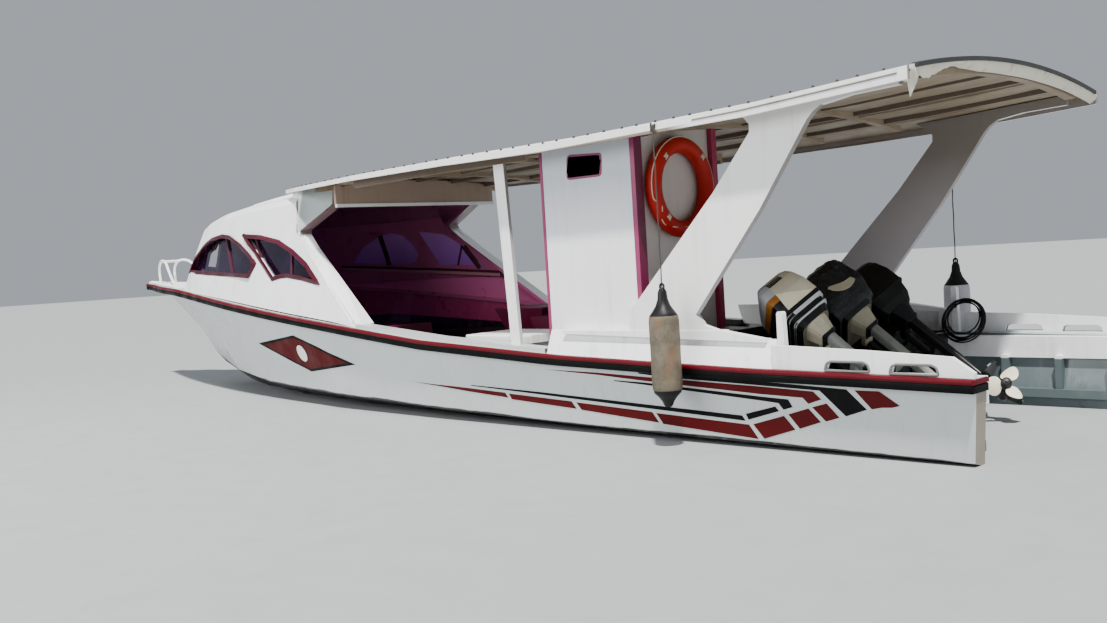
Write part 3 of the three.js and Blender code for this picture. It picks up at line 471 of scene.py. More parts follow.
def board(rings, bm=None):
    """Draws a ring of points out through further rings, as a planked or moulded length."""
    bm = bmesh.new() if bm is None else bm
    corners = [bm.verts.new(point) for point in rings[0]]
    face = bm.faces.new(corners)
    for count, ring in enumerate(rings[1:]):
        out = bmesh.ops.extrude_face_region(bm, geom=[face], use_keep_orig=count == 0)["geom"]
        made = [g for g in out if isinstance(g, bmesh.types.BMVert)]
        face = next(g for g in out if isinstance(g, bmesh.types.BMFace))
        corners = [next(e.other_vert(corner) for e in corner.link_edges
                        if e.other_vert(corner) in made) for corner in corners]
        for corner, point in zip(corners, ring):
            corner.co = point
    return bm


def strake(name, section, material, slot):
    """A rail drawn along the sheer on both sides; section gives (out, down) points."""
    xs = [-6.004] + [-5.9 + 0.2 * i for i in range(56)] + [5.4, 5.6, 5.75, 5.88, 5.938]
    rings = []
    for x in xs:
        top, half = between(SHEER, x), half_beam(x)
        low = min(hull_side(x, top - RAIL_DEPTH), half)
        ring = []
        for out, down in section:
            share = max(min(down / RAIL_DEPTH, 1), 0)
            skin = half + (low - half) * share
            ring.append(Vector((x, skin if out <= 0 else half + out, top - down)))
        rings.append(ring)
    return new_piece(name, both_sides(board(rings)), material, slot=slot, smooth=50)


rail_red = weathered("rail_red", "560010", 0.45, dirt="2c0c10", grime=0.4, mottle=0.4,
                     streaks=0.15, shine=0.2)
rail_black = weathered("rail_black", "020203", 0.5, dirt="141210", grime=0.3, mottle=0.3,
                       streaks=0.2, shine=0.12)
red_strake = strake("rail_red", [(0, 0), (0.026, 0.0005), (0.036, 0.004), (0.041, 0.012),
                                 (0.04, 0.022), (0.037, 0.03), (0, 0.03)], rail_red, "rail_paint")
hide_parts("rub_rail_port", "rub_rail_starboard")
strake("rail_black", [(0, 0.0305), (0.033, 0.0305), (0.036, 0.036), (0.036, 0.07), (0.031, 0.078),
                      (0, 0.078)], rail_black, "black_cable")

# The strake's return across each arm's end face.
ARM_TOP, ARM_INNER, ARM_OUTER = 0.507, 1.152, 1.338
for colour, depth, high, low, material, slot in (
        ("red", 0.016, 0.0, RED_DEPTH, rail_red, "rail_paint"),
        ("black", 0.012, 0.0305, RAIL_DEPTH, rail_black, "black_cable")):
    section = ((0, ARM_TOP - low), (depth, ARM_TOP - low + .003), (depth, ARM_TOP - high - .004),
               (0, ARM_TOP - high))
    bm = board([[Vector((STERN - .001 - out, y, z)) for out, z in section]
                for y in (ARM_OUTER, ARM_INNER)])
    new_piece(f"rail_return_{colour}", both_sides(bm), material, slot=slot, smooth=40)

# ---------------------------------------------------------------- scuppers
# Each bulwark has two freeing slots at deck level, with a worn grey lip moulded round
# the opening.
def rounded(points, radius, segments=4):
    """A closed outline with its corners rounded, in its own plane."""
    out = []
    for i, point in enumerate(points):
        here = Vector(point)
        before, after = Vector(points[i - 1]), Vector(points[(i + 1) % len(points)])
        reach = min(radius, (before - here).length * 0.45, (after - here).length * 0.45)
        first = here + (before - here).normalized() * reach
        last = here + (after - here).normalized() * reach
        out += list(interpolate_bezier(first.to_3d(), here.to_3d(), here.to_3d(), last.to_3d(),
                                       segments + 1))
    return [Vector(p[:len(points[0])]) for p in out]


def trim_ring(name, outline, section, place, material, slot, mirror=False):
    """A moulded frame round an opening: the outline, stepped outwards and proud in turn.
    section gives (step outwards, height off the surface); place maps (u, v, height)."""
    middle = sum((Vector(p) for p in outline), Vector((0, 0))) / len(outline)
    bm = bmesh.new()
    rows = []
    for step, height in section:
        row = []
        for i, point in enumerate(outline):
            along = (Vector(outline[(i + 1) % len(outline)]) - Vector(outline[i - 1])).normalized()
            normal = Vector((along.y, -along.x))
            if normal.dot(Vector(point) - middle) < 0:
                normal = -normal
            u, v = Vector(point) + normal * step
            row.append(bm.verts.new(place(u, v, height)))
        rows.append(row)
    loops = [[bm.edges.new((row[i - 1], row[i])) for i in range(len(row))] for row in rows]
    for first, last in zip(loops, loops[1:] + loops[:1]):
        bmesh.ops.bridge_loops(bm, edges=first + last)
    if mirror:
        both_sides(bm)
    return new_piece(name, bm, material, slot=slot, smooth=50)


BULWARK_SIDE = 1.3
LIP = [(-.001, -.012), (-.004, .002), (0, .005), (.007, .005), (.011, .0005), (.005, -.012)]
scupper_grey = weathered("scupper_grey", "6f706e", 0.5, grime=0.6, mottle=0.5)
for count, x in enumerate((-5.65, -5.23)):
    low = between(SHEER, x) + 0.012
    hole = [(x + dx, low + dz) for dx, dz in ((-.145, 0), (.145, 0), (.133, .038), (.105, .05),
                                              (-.105, .05), (-.133, .038))]
    trim_ring(f"scupper_lip_{count}", rounded(hole, .02), LIP,
              lambda u, v, h: (u, BULWARK_SIDE + h, v), scupper_grey, "white_paint", mirror=True)

# ---------------------------------------------------------------- forward cabin
# A moulded shell, bright white outside and painted maroon inside, with purple glass
# in crimson frames, a shelf under the glass and a slotted hand rail on the dome.
def lined(node, at, tone):
    """Maroon on what looks into the cabin, darker high up; grey gussets and a brown aft edge. The
    dark top, the grey and the brown are painted shade.
    """
    place, facing = node("SeparateXYZ", {"Vector": at}), faced(node)
    sides = fade(node, faced_outboard(node, place, facing), -0.02, -0.06)
    ceiling = fade(node, facing[2], -0.45, -0.55)
    # Paler low, darker high up: painted shade under the roof on the maroon.
    maroon = coated(node, linear("dc6ca4"), fade(node, place[2], 1.15, 1.3), "9a4c74")
    # The gussets' grey is painted shade on white paint.
    gusset = maths(node, "MULTIPLY", fade(node, place[0], 0.86, 0.84),
                   fade(node, place[2], 1.66, 1.68))
    tone = coated(node, tone, gusset, "a3adae")
    reach = maths(node, "MAXIMUM", fade(node, place[0], 0.33, 0.36),
                  fade(node, place[2], 1.95, 1.8))
    inside = maths(node, "MULTIPLY", reach, maths(node, "MAXIMUM", sides, ceiling))
    tone = blend(node, inside, tone, maroon)
    # The aft edge's brown is painted shade.
    edge = maths(node, "MULTIPLY", fade(node, facing[0], -0.3, -0.45),
                 fade(node, place[2], 1.62, 1.66))
    return coated(node, tone, edge, "7d726e")


cabin_white = weathered("cabin_white", "f5f6f8", 0.34, dirt="a39d90", grime=0.22, mottle=0.1,
                        streaks=0.15, coat=0.1, bump=0.4, extra=lined)
glass, surface, node, link = shader("window_glass", 0.06)
at = node("TexCoord")[3]
film = coated(node, linear("7d4a9a"), fade(node, noise(node, at, 2.5, 3), 0.35, 0.7), "5a3378")
link(film, surface.inputs["Base Color"])
link(fade(node, noise(node, at, 9, 5), 0.4, 0.8, 0.02, 0.1), surface.inputs["Roughness"])
surface.inputs["Transmission Weight"].default_value = 0.97
surface.inputs["IOR"].default_value = 1.35
paint_node(["cubicle_pane"], glass)

ROUNDING = [(-0.7, 0.0), (2.3, 0.0), (2.9, 0.015), (3.3, 0.045), (3.6, 0.1), (3.9, 0.19),
            (4.08, 0.27)]
CABIN_LEAN = 0.2
CABIN_INSET = 0.015
# The nose is fuller low down and its crown flatter than plain lofted sections give.
NOSE_FILL = [(2.7, 0.0), (3.1, 0.03), (3.4, 0.06), (3.6, 0.1), (3.8, 0.14), (3.95, 0.17),
             (4.1, 0.16), (4.3, 0.12)]
CROWN_KEPT = [(0.95, 1.0), (1.1, 0.86), (1.7, 0.86), (2.4, 0.8), (2.9, 0.74), (3.3, 0.67)]
CROWN_FROM = 1.75
OPENING_EDGE = [(0.807, -0.285), (1.196, 0.207), (1.664, 0.811), (1.99, 0.905)]
WINDOWS_AFT = 0.14


def cabin_foot(x):
    """The lofted cabin's half-breadth at the deck."""
    return half_beam(x) - CABIN_INSET - between(ROUNDING, x)


def nose_fill(x, z):
    """How much the side swells out at the nose, as a share of its half-breadth."""
    return between(NOSE_FILL, x) / cabin_foot(x) * max(min((CROWN_FROM - z) / 0.3, 1), 0)


def cabin_form(point):
    """Carries a point of the lofted cabin to its place on the moulded one."""
    x, y, z = point
    y *= 1 + nose_fill(x, z)
    if z > CROWN_FROM:
        z = CROWN_FROM + (z - CROWN_FROM) * between(CROWN_KEPT, x)
    edge = between(OPENING_EDGE, z)
    aft = max(min((x - edge) / 0.3, 1), 0) * max(min((3.6 - x) / 1.4, 1), 0)
    return Vector((x - WINDOWS_AFT * aft, y, z))


def moulded(name, material, slot):
    """The cabin's shell or a pane in its moulded form, in the plain one's place."""
    bm = bmesh.new()
    bm.from_mesh(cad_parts[name].data)
    for vertex in bm.verts:
        vertex.co = cabin_form(vertex.co)
    piece = new_piece(name + "_moulded", bm, material, slot=slot, smooth=22)
    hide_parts(name)
    return piece


cabin_surface = surface_of(moulded("forward_cabin", cabin_white, "white_paint"))
for pane in pair("front_pane") + pair("rear_pane"):
    moulded(pane, glass, "purple_glass")


def cabin_side(x, z):
    """The cabin's outer half-breadth at a height, from its own leaning side."""
    half = cabin_foot(x) - CABIN_LEAN * (z - between(SHEER, x))
    return half * (1 + nose_fill(x, z))


def on_cabin(x, z, height):
    """A point on the cabin's port side, stood off along the surface normal."""
    guess = Vector((x, cabin_side(x, z), z))
    hit, normal, _, _ = cabin_surface.ray_cast(guess + Vector((0, 0.3, 0)), Vector((0, -1, 0)), 0.4)
    if not hit or abs(hit.y - guess.y) > 0.02 or normal.y < 0.3:
        hit, normal = guess, Vector((0.0, 0.98, 0.2))
    return hit + normal * height


FRONT_WINDOW = [(3.76, 1.36), (3.62, 1.51), (3.4, 1.64), (3.11, 1.718), (2.78, 1.74), (2.54, 1.715),
                (2.26, 1.622), (1.98, 1.498), (1.82, 1.4), (1.96, 1.272)]
REAR_WINDOW = [(2.19, 1.71), (1.78, 1.678), (1.35, 1.61), (1.02, 1.498), (0.74, 1.366),
               (0.45, 1.165), (0.8, 1.223), (1.1, 1.256), (1.25, 1.25), (1.41, 1.228)]
crimson = weathered("crimson_trim", "44061c", 0.4, dirt="2a0612", grime=0.45, mottle=0.6,
                    streaks=0.1, shine=0.3)
for name, window in (("front_window_frame", FRONT_WINDOW), ("rear_window_frame", REAR_WINDOW)):
    placed = [cabin_form((x, 0, z)).xz for x, z in window]
    dense = [a.lerp(b, i / 5) for a, b in zip(placed, placed[1:] + placed[:1]) for i in range(5)]
    trim_ring(name, dense, [(-.022, -.036), (-.03, .0), (-.022, .007), (.009, .007), (.014, .001),
                            (.008, -.006)], on_cabin, crimson, "pink_paint", mirror=True)


EASE = 0.82


def bar(name, path, width, thick, material, slot, body="boat", mirror=False, up=(0, 0, 1)):
    """A square-edged batten with eased corners along a path."""
    path = [Vector(point) for point in path]
    rings = []
    for here, before, after in zip(path, path[:1] + path, path[1:] + path[-1:]):
        along = (after - before).normalized()
        wide = along.cross(Vector(up)).normalized() * width / 2
        high = wide.cross(along).normalized() * thick / 2
        rings.append([here + wide * a + high * b for a, b in (
            (-1, -EASE), (-EASE, -1), (EASE, -1), (1, -EASE), (1, EASE), (EASE, 1), (-EASE, 1),
            (-1, EASE))])
    bm = board(rings)
    if mirror:
        both_sides(bm)
    return new_piece(name, bm, material, body, slot, 30)


# Mullions stand behind the glass, and a maroon shelf runs below it.
dark_maroon = weathered("dark_maroon", "3c0c22", 0.45, grime=0.25, mottle=0.4, streaks=0.15)
maroon = weathered("maroon_paint", "9c2048", 0.4, dirt="3c0c1c", grime=0.35, mottle=0.5,
                   streaks=0.2, coat=0.1)
for name, top, foot in (("front_mullion", (2.66, 1.7), (2.36, 1.3)),
                        ("rear_mullion_forward", (1.83, 1.67), (1.5, 1.25)),
                        ("rear_mullion_aft", (1.0, 1.5), (0.95, 1.26))):
    path = []
    for i in range(5):
        x, z = Vector(top).lerp(Vector(foot), i / 4)
        path.append((x, cabin_side(x, z) - 0.062, z))
    bar(name, path, 0.035, 0.02, dark_maroon, "maroon_paint", mirror=True, up=(0, 1, 0))
SHELF = [(0.4, 1.12), (1.4, 1.19), (3.2, 1.27)]
shelf = [(x, cabin_side(x, 1.2) - 0.055, between(SHELF, x))
         for x in (0.42, 0.7, 1.0, 1.4, 1.8, 2.2, 2.6, 3.0)]
bar("window_shelf", shelf, 0.05, 0.028, maroon, "maroon_paint", mirror=True)

# A raised batten runs down each pillar. The grab rail on each shoulder is a board on
# three feet, with two slots between them.
bar("pillar_batten", [(.78, 1.03, 1.605), (.72, 1.041, 1.565), (.247, 1.131, 1.232),
                      (-.345, 1.241, .802)], 0.02, 0.018, trim_white, "white_paint",
    mirror=True, up=(0, 1, 0.26))
RAIL_OUT = .475
RAIL_TOP = [(1.28, 2.118), (1.36, 2.13), (1.62, 2.117), (2.02, 2.088), (2.43, 2.052), (2.52, 2.02)]
bar("grab_rail", [(x, RAIL_OUT, between(RAIL_TOP, x) - .014)
                  for x in (1.28, 1.45, 1.62, 1.82, 2.02, 2.22, 2.43, 2.52)],
    0.034, 0.028, trim_white, "white_paint", mirror=True)
for count, (x, length) in enumerate(((1.335, .11), (1.93, .14), (2.42, .2))):
    bar(f"grab_rail_foot_{count}", [(x, RAIL_OUT, between(RAIL_TOP, x) - z) for z in (.02, .075)],
        0.033, length, trim_white, "white_paint", mirror=True, up=(1, 0, 0))

# Inside, the starboard wall has its own lining with two arched lights over a shelf whose
# edge is worn pale. The lights are opaque pale purple films: painted daylight through the glass.
lining_maroon = weathered("lining_maroon", "b45a86", 0.32, dirt="4a1c34", grime=0.3, mottle=0.6,
                          streaks=0.15)
LINING = [(1.2, 0.075), (1.6, 0.115), (3.3, 0.13)]


def on_lining(x, z, height=0.0):
    """A point on the starboard lining, stood off towards the cabin's middle."""
    return Vector((x, between(LINING, x) + height - cabin_side(x, z), z))


bm = bmesh.new()
grid = bmesh.ops.create_grid(bm, x_segments=30, y_segments=8, size=1)["verts"]
for vertex in grid:
    z = 1.45 + 0.33 * vertex.co.y
    aft = between(OPENING_EDGE, z) + 0.04
    vertex.co = on_lining(aft + (3.3 - aft) * (vertex.co.x + 1) / 2, z)
bmesh.ops.solidify(bm, geom=bm.faces[:], thickness=0.008)
new_piece("cabin_lining", bm, lining_maroon, slot="maroon_paint", smooth=30)
FRONT_LIGHT = [(2.418, 1.346), (2.356, 1.407), (2.204, 1.526), (1.942, 1.626), (1.731, 1.661),
               (1.572, 1.625), (1.462, 1.527), (1.402, 1.402), (1.455, 1.323), (1.538, 1.3)]
REAR_LIGHT = [(1.324, 1.65), (1.152, 1.63), (.965, 1.599), (.8, 1.511), (.671, 1.397),
              (.543, 1.283), (.47, 1.222), (.712, 1.252), (.9, 1.262), (1.122, 1.268)]
# Pale purple, paler towards the top: painted daylight through the starboard glass.
painted_daylight_film, surface, node, link = shader("painted_daylight_film", 0.12)
at = node("TexCoord")[3]
height = node("SeparateXYZ", {"Vector": at})[2]
film = coated(node, linear("d690ea"), fade(node, height, 1.62, 1.3), "a86ccc")
link(film, surface.inputs["Base Color"])
link(fade(node, noise(node, at, 9, 5), 0.4, 0.8, 0.1, 0.25), surface.inputs["Roughness"])
for name, light in (("front_light", FRONT_LIGHT), ("rear_light", REAR_LIGHT)):
    bm = bmesh.new()
    bm.faces.new([bm.verts.new(on_lining(x, z, 0.009)) for x, z in light])
    bmesh.ops.triangulate(bm, faces=bm.faces[:])
    bmesh.ops.solidify(bm, geom=bm.faces[:], thickness=0.003)
    new_piece(name, bm, painted_daylight_film, slot="purple_glass")
for name, (top, foot), wide in (("front_light_bar", ((1.905, 1.64), (1.86, 1.3)), .07),
                                ("rear_light_bar", ((.725, 1.46), (.845, 1.255)), .022),
                                ("rear_light_batten", ((.70, 1.45), (.53, 1.215)), .06)):
    path = [on_lining(*Vector(top).lerp(Vector(foot), i / 4), 0.014) for i in range(5)]
    bar(name, path, wide, 0.016, dark_maroon, "maroon_paint", up=(0, 1, 0))
worn_edge = weathered("worn_edge", "a8727c", 0.5, dirt="5c2436", grime=0.5, mottle=0.6, streaks=0.1)
DROP = [(.19, -.157), (2.6, 0.0)]
for name, low, high, out, finish in (("shelf_top", 1.3, 1.325, .05, dark_maroon),
                                     ("shelf_edge", 1.268, 1.3, .058, worn_edge)):
    bm = board([[on_lining(x, 1.2, d) + Vector((0, 0, z - 1.2 + between(DROP, x)))
                 for d, z in ((0, low), (out, low), (out, high), (0, high))]
                for x in (.19, .5, .9, 1.3, 1.7, 2.1, 2.6)])
    new_piece(name, bm, finish, slot="maroon_paint", smooth=30)

# A stringer runs along the deck's edge below the lining.
deck_stringer = [(x, .062 - cabin_side(x, between(SHEER, x)), between(SHEER, x) + .01)
                 for x in (-.25, .2, .7, 1.2, 1.7, 2.2, 2.7, 3.2)]
bar("deck_stringer", deck_stringer, 0.03, 0.045, lining_maroon, "maroon_paint")

# A deep header board closes the dome's aft edge under the roof, with a pale lip below.
header_paint = weathered("header_paint", "a8917f", 0.5, dirt="6a5548", grime=0.5, mottle=0.7,
                         streaks=0.3)
for name, aft, low, high, arch, finish in (
        ("cabin_header", .19, 1.9, 2.075, .05, header_paint),
        ("header_lip", .175, 1.872, 1.902, 0, trim_white)):
    rings = []
    for y in [-.99 + .198 * i for i in range(11)]:
        top = high + arch * (1 - y * y)
        rings.append([Vector((x, y, z)) for x, z in ((aft, low), (aft + .035, low),
                                                     (aft + .035, top), (aft, top))])
    new_piece(name, board(rings), finish, slot="beige_paint", smooth=30)

# ---------------------------------------------------------------- roof
# A thin moulded skin on white edge boards, screwed down along its sides. Underneath it
# is beige, on cross beams and stringers, with a lining that has torn at the stern.
under_beige = weathered("under_beige", "9a8871", 0.6, dirt="4a3c2e", grime=0.55, mottle=0.6,
                        streaks=0.25)


def beige_below(node, at, tone):
    """Faces that look down are left in the beige undercoat."""
    stain = coated(node, linear("938169"), fade(node, noise(node, at, 2.4, 6), 0.45, 0.7), "75634e")
    return blend(node, fade(node, faced(node)[2], -0.4, -0.6), tone, stain)


roof_white = weathered("roof_white", "efefec", 0.45, dirt="8f897c", grime=0.3, mottle=0.25,
                       streaks=0.1, extra=beige_below)
paint_node(["roof_skin"], roof_white)


def shaded_outboard(node, at, tone):
    """The stringers' side faces are darker: painted shade."""
    side = maths(node, "ABSOLUTE", faced(node)[1])
    return coated(node, tone, fade(node, side, 0.6, 0.8), "64564a")


paint_node(["roof_frame"], weathered("frame_beige", "9a8871", 0.6, dirt="4a3c2e", grime=0.55,
                                     mottle=0.6, streaks=0.25, extra=shaded_outboard))
# The roof's rows are (x, half-width, height of its edge, rise of its crown).
ROOF = [(-5.76, 1.43, 2.222, .13), (-4.67, 1.43, 2.15, .14), (-3.878, 1.43, 2.124, .14),
        (-2.95, 1.43, 2.1, .14), (-1.85, 1.43, 2.101, .13), (-.566, 1.36, 2.094, .1),
        (.328, 1.21, 2.091, .075), (.765, 1.06, 2.102, .06), (1.157, .9, 2.113, .045)]


def roof_column(column, x):
    """One column of the roof's table, at any station."""
    return between([(row[0], row[column]) for row in ROOF], x)


def roof_top(x, y):
    """Height of the roof's upper face."""
    half = roof_column(1, x)
    return roof_column(2, x) + roof_column(3, x) * (1 - (y / half) ** 2)


# Painted planks of the ceiling between the stringers, each bowed by its own amount.
PLANKS = ((-1.12, -.93), (-.86, -.5), (-.4, -.05), (.05, .4), (.5, .86), (.93, 1.12))
for count, (low, high) in enumerate(PLANKS):
    rings = []
    for i in range(17):
        x = -5.62 + 0.35 * i
        sag = 0.004 * math.sin(i * 1.7 + count * 2.1)
        under = roof_top(x, max(abs(low), abs(high))) - 0.034
        rings.append([Vector((x, y, under + z)) for y, z in (
            (low, 0.0), (low, sag - .012), (high, sag - .012), (high, 0.0))])
    new_piece(f"ceiling_plank_{count}", board(rings), under_beige, slot="beige_paint")

# A dark bead caps the roof's aft edge. Below it hangs the edge of the pale lining, torn
# into rags at the port corner. A grey strip, a painted shadow line, runs under the aft end of both
# side edges.
bead_dark = weathered("bead_dark", "2c2d2f", 0.6, dirt="15140f", grime=0.5, mottle=0.5, streaks=0.1)
lining_pale = weathered("lining_pale", "e6e0d0", 0.6, dirt="6a5c46", grime=0.45, mottle=0.5,
                        streaks=0.4)
shadow_line_grey = weathered("shadow_line_grey", "77746c", 0.6, dirt="3a372f", grime=0.6, mottle=0.6, streaks=0.2)
ROOF_AFT = -5.76
AFT = ROOF_AFT - .002
bm = board([[Vector((AFT - a, y, roof_top(ROOF_AFT, y) + z)) for a, z in (
    (.0, -.024), (.014, -.02), (.014, .003), (-.02, .007), (-.02, .0))]
            for y in [-1.36 + .1 * i for i in range(28)]])
new_piece("roof_bead", bm, bead_dark, slot="black_cable", smooth=40)
# How far the lining hangs down, as (y, drop).
HANG = [(-1.4, .05), (-1.0, .052), (-.5, .06), (0, .062), (.45, .055), (.7, .034), (.8, .018),
        (.9, .034), (1.0, .05), (1.1, .075), (1.2, .05), (1.28, .06), (1.3, .13), (1.33, .15),
        (1.345, .07), (1.4, .06)]
bm = bmesh.new()
grid = bmesh.ops.create_grid(bm, x_segments=110, y_segments=5, size=1)["verts"]
for vertex in grid:
    y = 1.4 * vertex.co.x
    down = (1 - vertex.co.y) / 2
    ragged = 1 + 0.12 * math.sin(y * 61) * math.sin(y * 23) if y > .65 else 1
    drop = between(HANG, y) * ragged * down
    vertex.co = (AFT - 0.004 + 0.05 * down ** 2, y, roof_top(ROOF_AFT, y) - .02 - drop)
bmesh.ops.solidify(bm, geom=bm.faces[:], thickness=0.004)
new_piece("torn_lining", bm, lining_pale, slot="white_paint", smooth=60)
# The grey strip is a painted shadow line under the roof's edge.
bm = board([[Vector((x, roof_column(1, x) + d, roof_column(2, x) - .03 + z)) for d, z in (
    (-.004, -.007), (.004, -.004), (.004, .004), (-.004, .007))]
            for x in [-5.7 + .35 * i for i in range(5)]])
new_piece("roof_shadow_line", both_sides(bm), shadow_line_grey, slot="rail_paint", smooth=40)

# A rounded filling piece closes the gap between the roof's front end and the cabin's crown.
bm = board([[Vector((x - .075 * (y / .9) ** 2, y, roof_top(1.1, y) + z)) for x, z in (
    (.9, -.02), (1.12, -.016), (1.145, -.05), (1.135, -.085), (1.09, -.115), (.9, -.125))]
            for y in [-.88 + .08 * i for i in range(23)]])
new_piece("roof_nose", bm, trim_white, slot="white_paint", smooth=50)

# Dark screw heads stand along both edges, not quite evenly spaced.
screw_black = weathered("screw_black", "1a1a1c", 0.5, grime=0.3, bump=0.1)
bm = bmesh.new()
x, count = -5.6, 0
while x < 1.0:
    y = roof_column(1, x) - 0.045
    for side in (-1, 1):
        where = Matrix.Translation((x, y * side, roof_top(x, y) + 0.006))
        bmesh.ops.create_cone(bm, cap_ends=True, segments=8, radius1=0.011, radius2=0.006,
                              depth=0.014, matrix=where)
    count += 1
    x += 0.148 + 0.02 * math.sin(count * 2.3)
new_piece("roof_screws", bm, screw_black, slot="black_cable", smooth=40)

# ---------------------------------------------------------------- arch legs and posts
# Box-section legs rake forward from flared feet on the coaming to flared heads under
# the roof; thin square posts stand between the deck and the side stringers.
def inboard_and_aft_shade(node, at, tone):
    """Faces that look inboard or aft are painted shade: grey, paler low down."""
    place, facing = node("SeparateXYZ", {"Vector": at}), faced(node)
    inboard = fade(node, faced_outboard(node, place, facing), -0.4, -0.7)
    dull = maths(node, "MAXIMUM", inboard, fade(node, facing[0], -0.3, -0.5))
    coat = coated(node, linear("8a827c"), fade(node, place[2], 1.9, 0.9), "c9c6cc")
    return blend(node, dull, tone, coat)


leg_white = weathered("leg_white", "f4f3f2", 0.38, dirt="a39a8e", grime=0.25, mottle=0.12,
                      streaks=0.18, bump=0.35, extra=inboard_and_aft_shade)
paint_node(pair("arch_leg") + pair("side_post"), leg_white)


def edge_coats(node, at, tone):
    """Inboard and aft faces get painted shade; forward of the legs only the upper half of the edge
    board is white.
    """
    tone = inboard_and_aft_shade(node, at, tone)
    place = node("SeparateXYZ", {"Vector": at})
    line = maths(node, "SUBTRACT", place[2], fade(node, place[0], -2.95, -4.67, 2.052, 2.102))
    low = maths(node, "MULTIPLY", fade(node, line, 0.002, -0.002),
                fade(node, place[0], -4.3, -4.1))
    return coated(node, tone, low, "7b6c5c")


paint_node(pair("roof_edge"), weathered("edge_white", "f4f3f2", 0.38, dirt="a39a8e", grime=0.35,
                                        mottle=0.3, streaks=0.2, bump=0.35, extra=edge_coats))

# ---------------------------------------------------------------- cubicle
# White board walls with a small framed window, greyed by painted shadow and shade, magenta
# corner posts whose aft faces are dark maroon as painted shade, a maroon inboard post and a
# maroon door on two hinges.
def roof_shadow_and_aft_shade(node, at, tone):
    """Greyer towards the top, the roof's painted shadow, and faces that look aft a warmer grey,
    painted shade.
    """
    height = node("SeparateXYZ", {"Vector": at})[2]
    tone = coated(node, tone, fade(node, height, 1.35, 1.85), "b9bec6")
    return coated(node, tone, fade(node, faced(node)[0], -0.5, -0.8), "c9c1bd")


board_white = weathered("board_white", "f3f3f4", 0.42, dirt="a59f92", grime=0.28, mottle=0.15,
                        streaks=0.3, extra=roof_shadow_and_aft_shade)
paint_node(["cubicle"], board_white)
paint_node(["cubicle_door", "cubicle_post_inboard"], maroon)


def magenta_with_aft_shade(node, at, tone):
    """Outboard faces are magenta and the faces that look aft are dark maroon: painted shade."""
    return coated(node, tone, fade(node, faced(node)[0], -0.5, -0.8), "611238")


magenta = weathered("magenta_post", "8a2658", 0.42, dirt="5a1c3a", grime=0.2, mottle=0.4,
                    streaks=0.25, extra=magenta_with_aft_shade)
paint_node(["cubicle_post_aft", "cubicle_post_front"], magenta)
pink_trim = weathered("pink_trim", "7e2c54", 0.42, dirt="5a1c3a", grime=0.2, mottle=0.4)
WINDOW = [(-3.297, 1.86), (-2.986, 1.86), (-2.999, 2.01), (-3.308, 1.996)]
WALL_OUTSIDE = 1.2
trim_ring("cubicle_window_frame", rounded(WINDOW, 0.035, 6),
          [(-.006, -.02), (-.006, .003), (0, .006), (.012, .006), (.015, .002), (.01, -.004)],
          lambda u, v, h: (u, WALL_OUTSIDE + h, v), pink_trim, "pink_paint")
bar("post_bracket", [(-2.7, 1.19, 2.085), (-2.62, 1.19, 2.1), (-2.56, 1.19, 2.122)], 0.02, 0.05,
    magenta, "pink_paint", up=(0, 1, 0))
bar("door_handle", [(-3.37, .214, 1.05), (-3.37, .214, 1.17)], 0.016, 0.012, under_beige,
    "beige_paint", body="door", up=(0, 1, 0))

# ---------------------------------------------------------------- lifebuoy
# An orange ring buoy hung on the aft wall, faded on its top, with a thin pale grab
# line made fast at four bands.
def sun_faded(node, at, tone):
    """The top of the ring is bleached."""
    height = node("SeparateXYZ", {"Vector": at})[2]
    return coated(node, tone, fade(node, height, 1.75, 2.05, 0, 0.35), "c02c14")


buoy_orange = weathered("buoy_orange", "a80f06", 0.55, dirt="4c0e08", shine=0.3, grime=0.35,
                        mottle=0.4, streaks=0.15, extra=sun_faded)
BUOY = Vector((-3.6403, 0.737, 1.74))
BUOY_RADIUS, BUOY_TUBE = 0.3, 0.06
FIRST_BAND = math.radians(45)
BAND_RADIUS = BUOY_TUBE * 0.985
bm = bmesh.new()
profile = bmesh.ops.create_circle(bm, segments=20, radius=BUOY_TUBE)["verts"]
for axis in "YZ":
    quarter = Matrix.Rotation(math.pi / 2, 3, axis)
    bmesh.ops.rotate(bm, verts=profile, cent=(0, 0, 0), matrix=quarter)
bmesh.ops.translate(bm, verts=profile, vec=BUOY + Vector((0, 0, BUOY_RADIUS)))
bmesh.ops.spin(bm, geom=bm.verts[:] + bm.edges[:], cent=BUOY, axis=(1, 0, 0),
               angle=2 * math.pi, steps=56, use_merge=True)
for vertex in bm.verts:  # flat where it lies on the wall
    vertex.co.x = min(vertex.co.x, BUOY.x + BAND_RADIUS)
buoy = new_piece("buoy_ring", bm, buoy_orange, slot="lifebuoy_orange", smooth=60)
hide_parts("lifebuoy")
line_pale = weathered("line_pale", "c9bfa6", 0.7, dirt="6b5c44", grime=0.6)
grab = []
for i in range(48):
    turn = FIRST_BAND + 2 * math.pi * i / 48
    slack = abs(math.sin(2 * (turn - FIRST_BAND))) ** 1.2
    drops = 200 < math.degrees(turn) % 360 < 340
    stand = 0.056 - (0.07 * slack if drops else 0)
    off = BUOY_TUBE * 0.9 if slack > 0.3 and stand < 0.04 else 0.03
    reach = BUOY_RADIUS + stand
    grab.append(BUOY + Vector((-off, reach * math.cos(turn), reach * math.sin(turn))))
tube_along("grab_line", grab, 0.0045, line_pale, cyclic=True)
bm = bmesh.new()
for i in range(4):
    turn = FIRST_BAND + math.pi / 2 * i
    centre = BUOY + Vector((0, math.cos(turn), math.sin(turn))) * BUOY_RADIUS
    spin = Matrix.Translation(centre) @ Matrix.Rotation(turn + math.pi / 2, 4, "X")
    bmesh.ops.create_cone(bm, segments=20, radius1=BAND_RADIUS, radius2=BAND_RADIUS, depth=0.035,
                          matrix=spin)
buoy_bands = new_piece("buoy_bands", bm, line_pale, slot="fender_vinyl", smooth=40)
solid = buoy_bands.modifiers.new("thickness", "SOLIDIFY")
solid.thickness = 0.003
solid.offset = 1

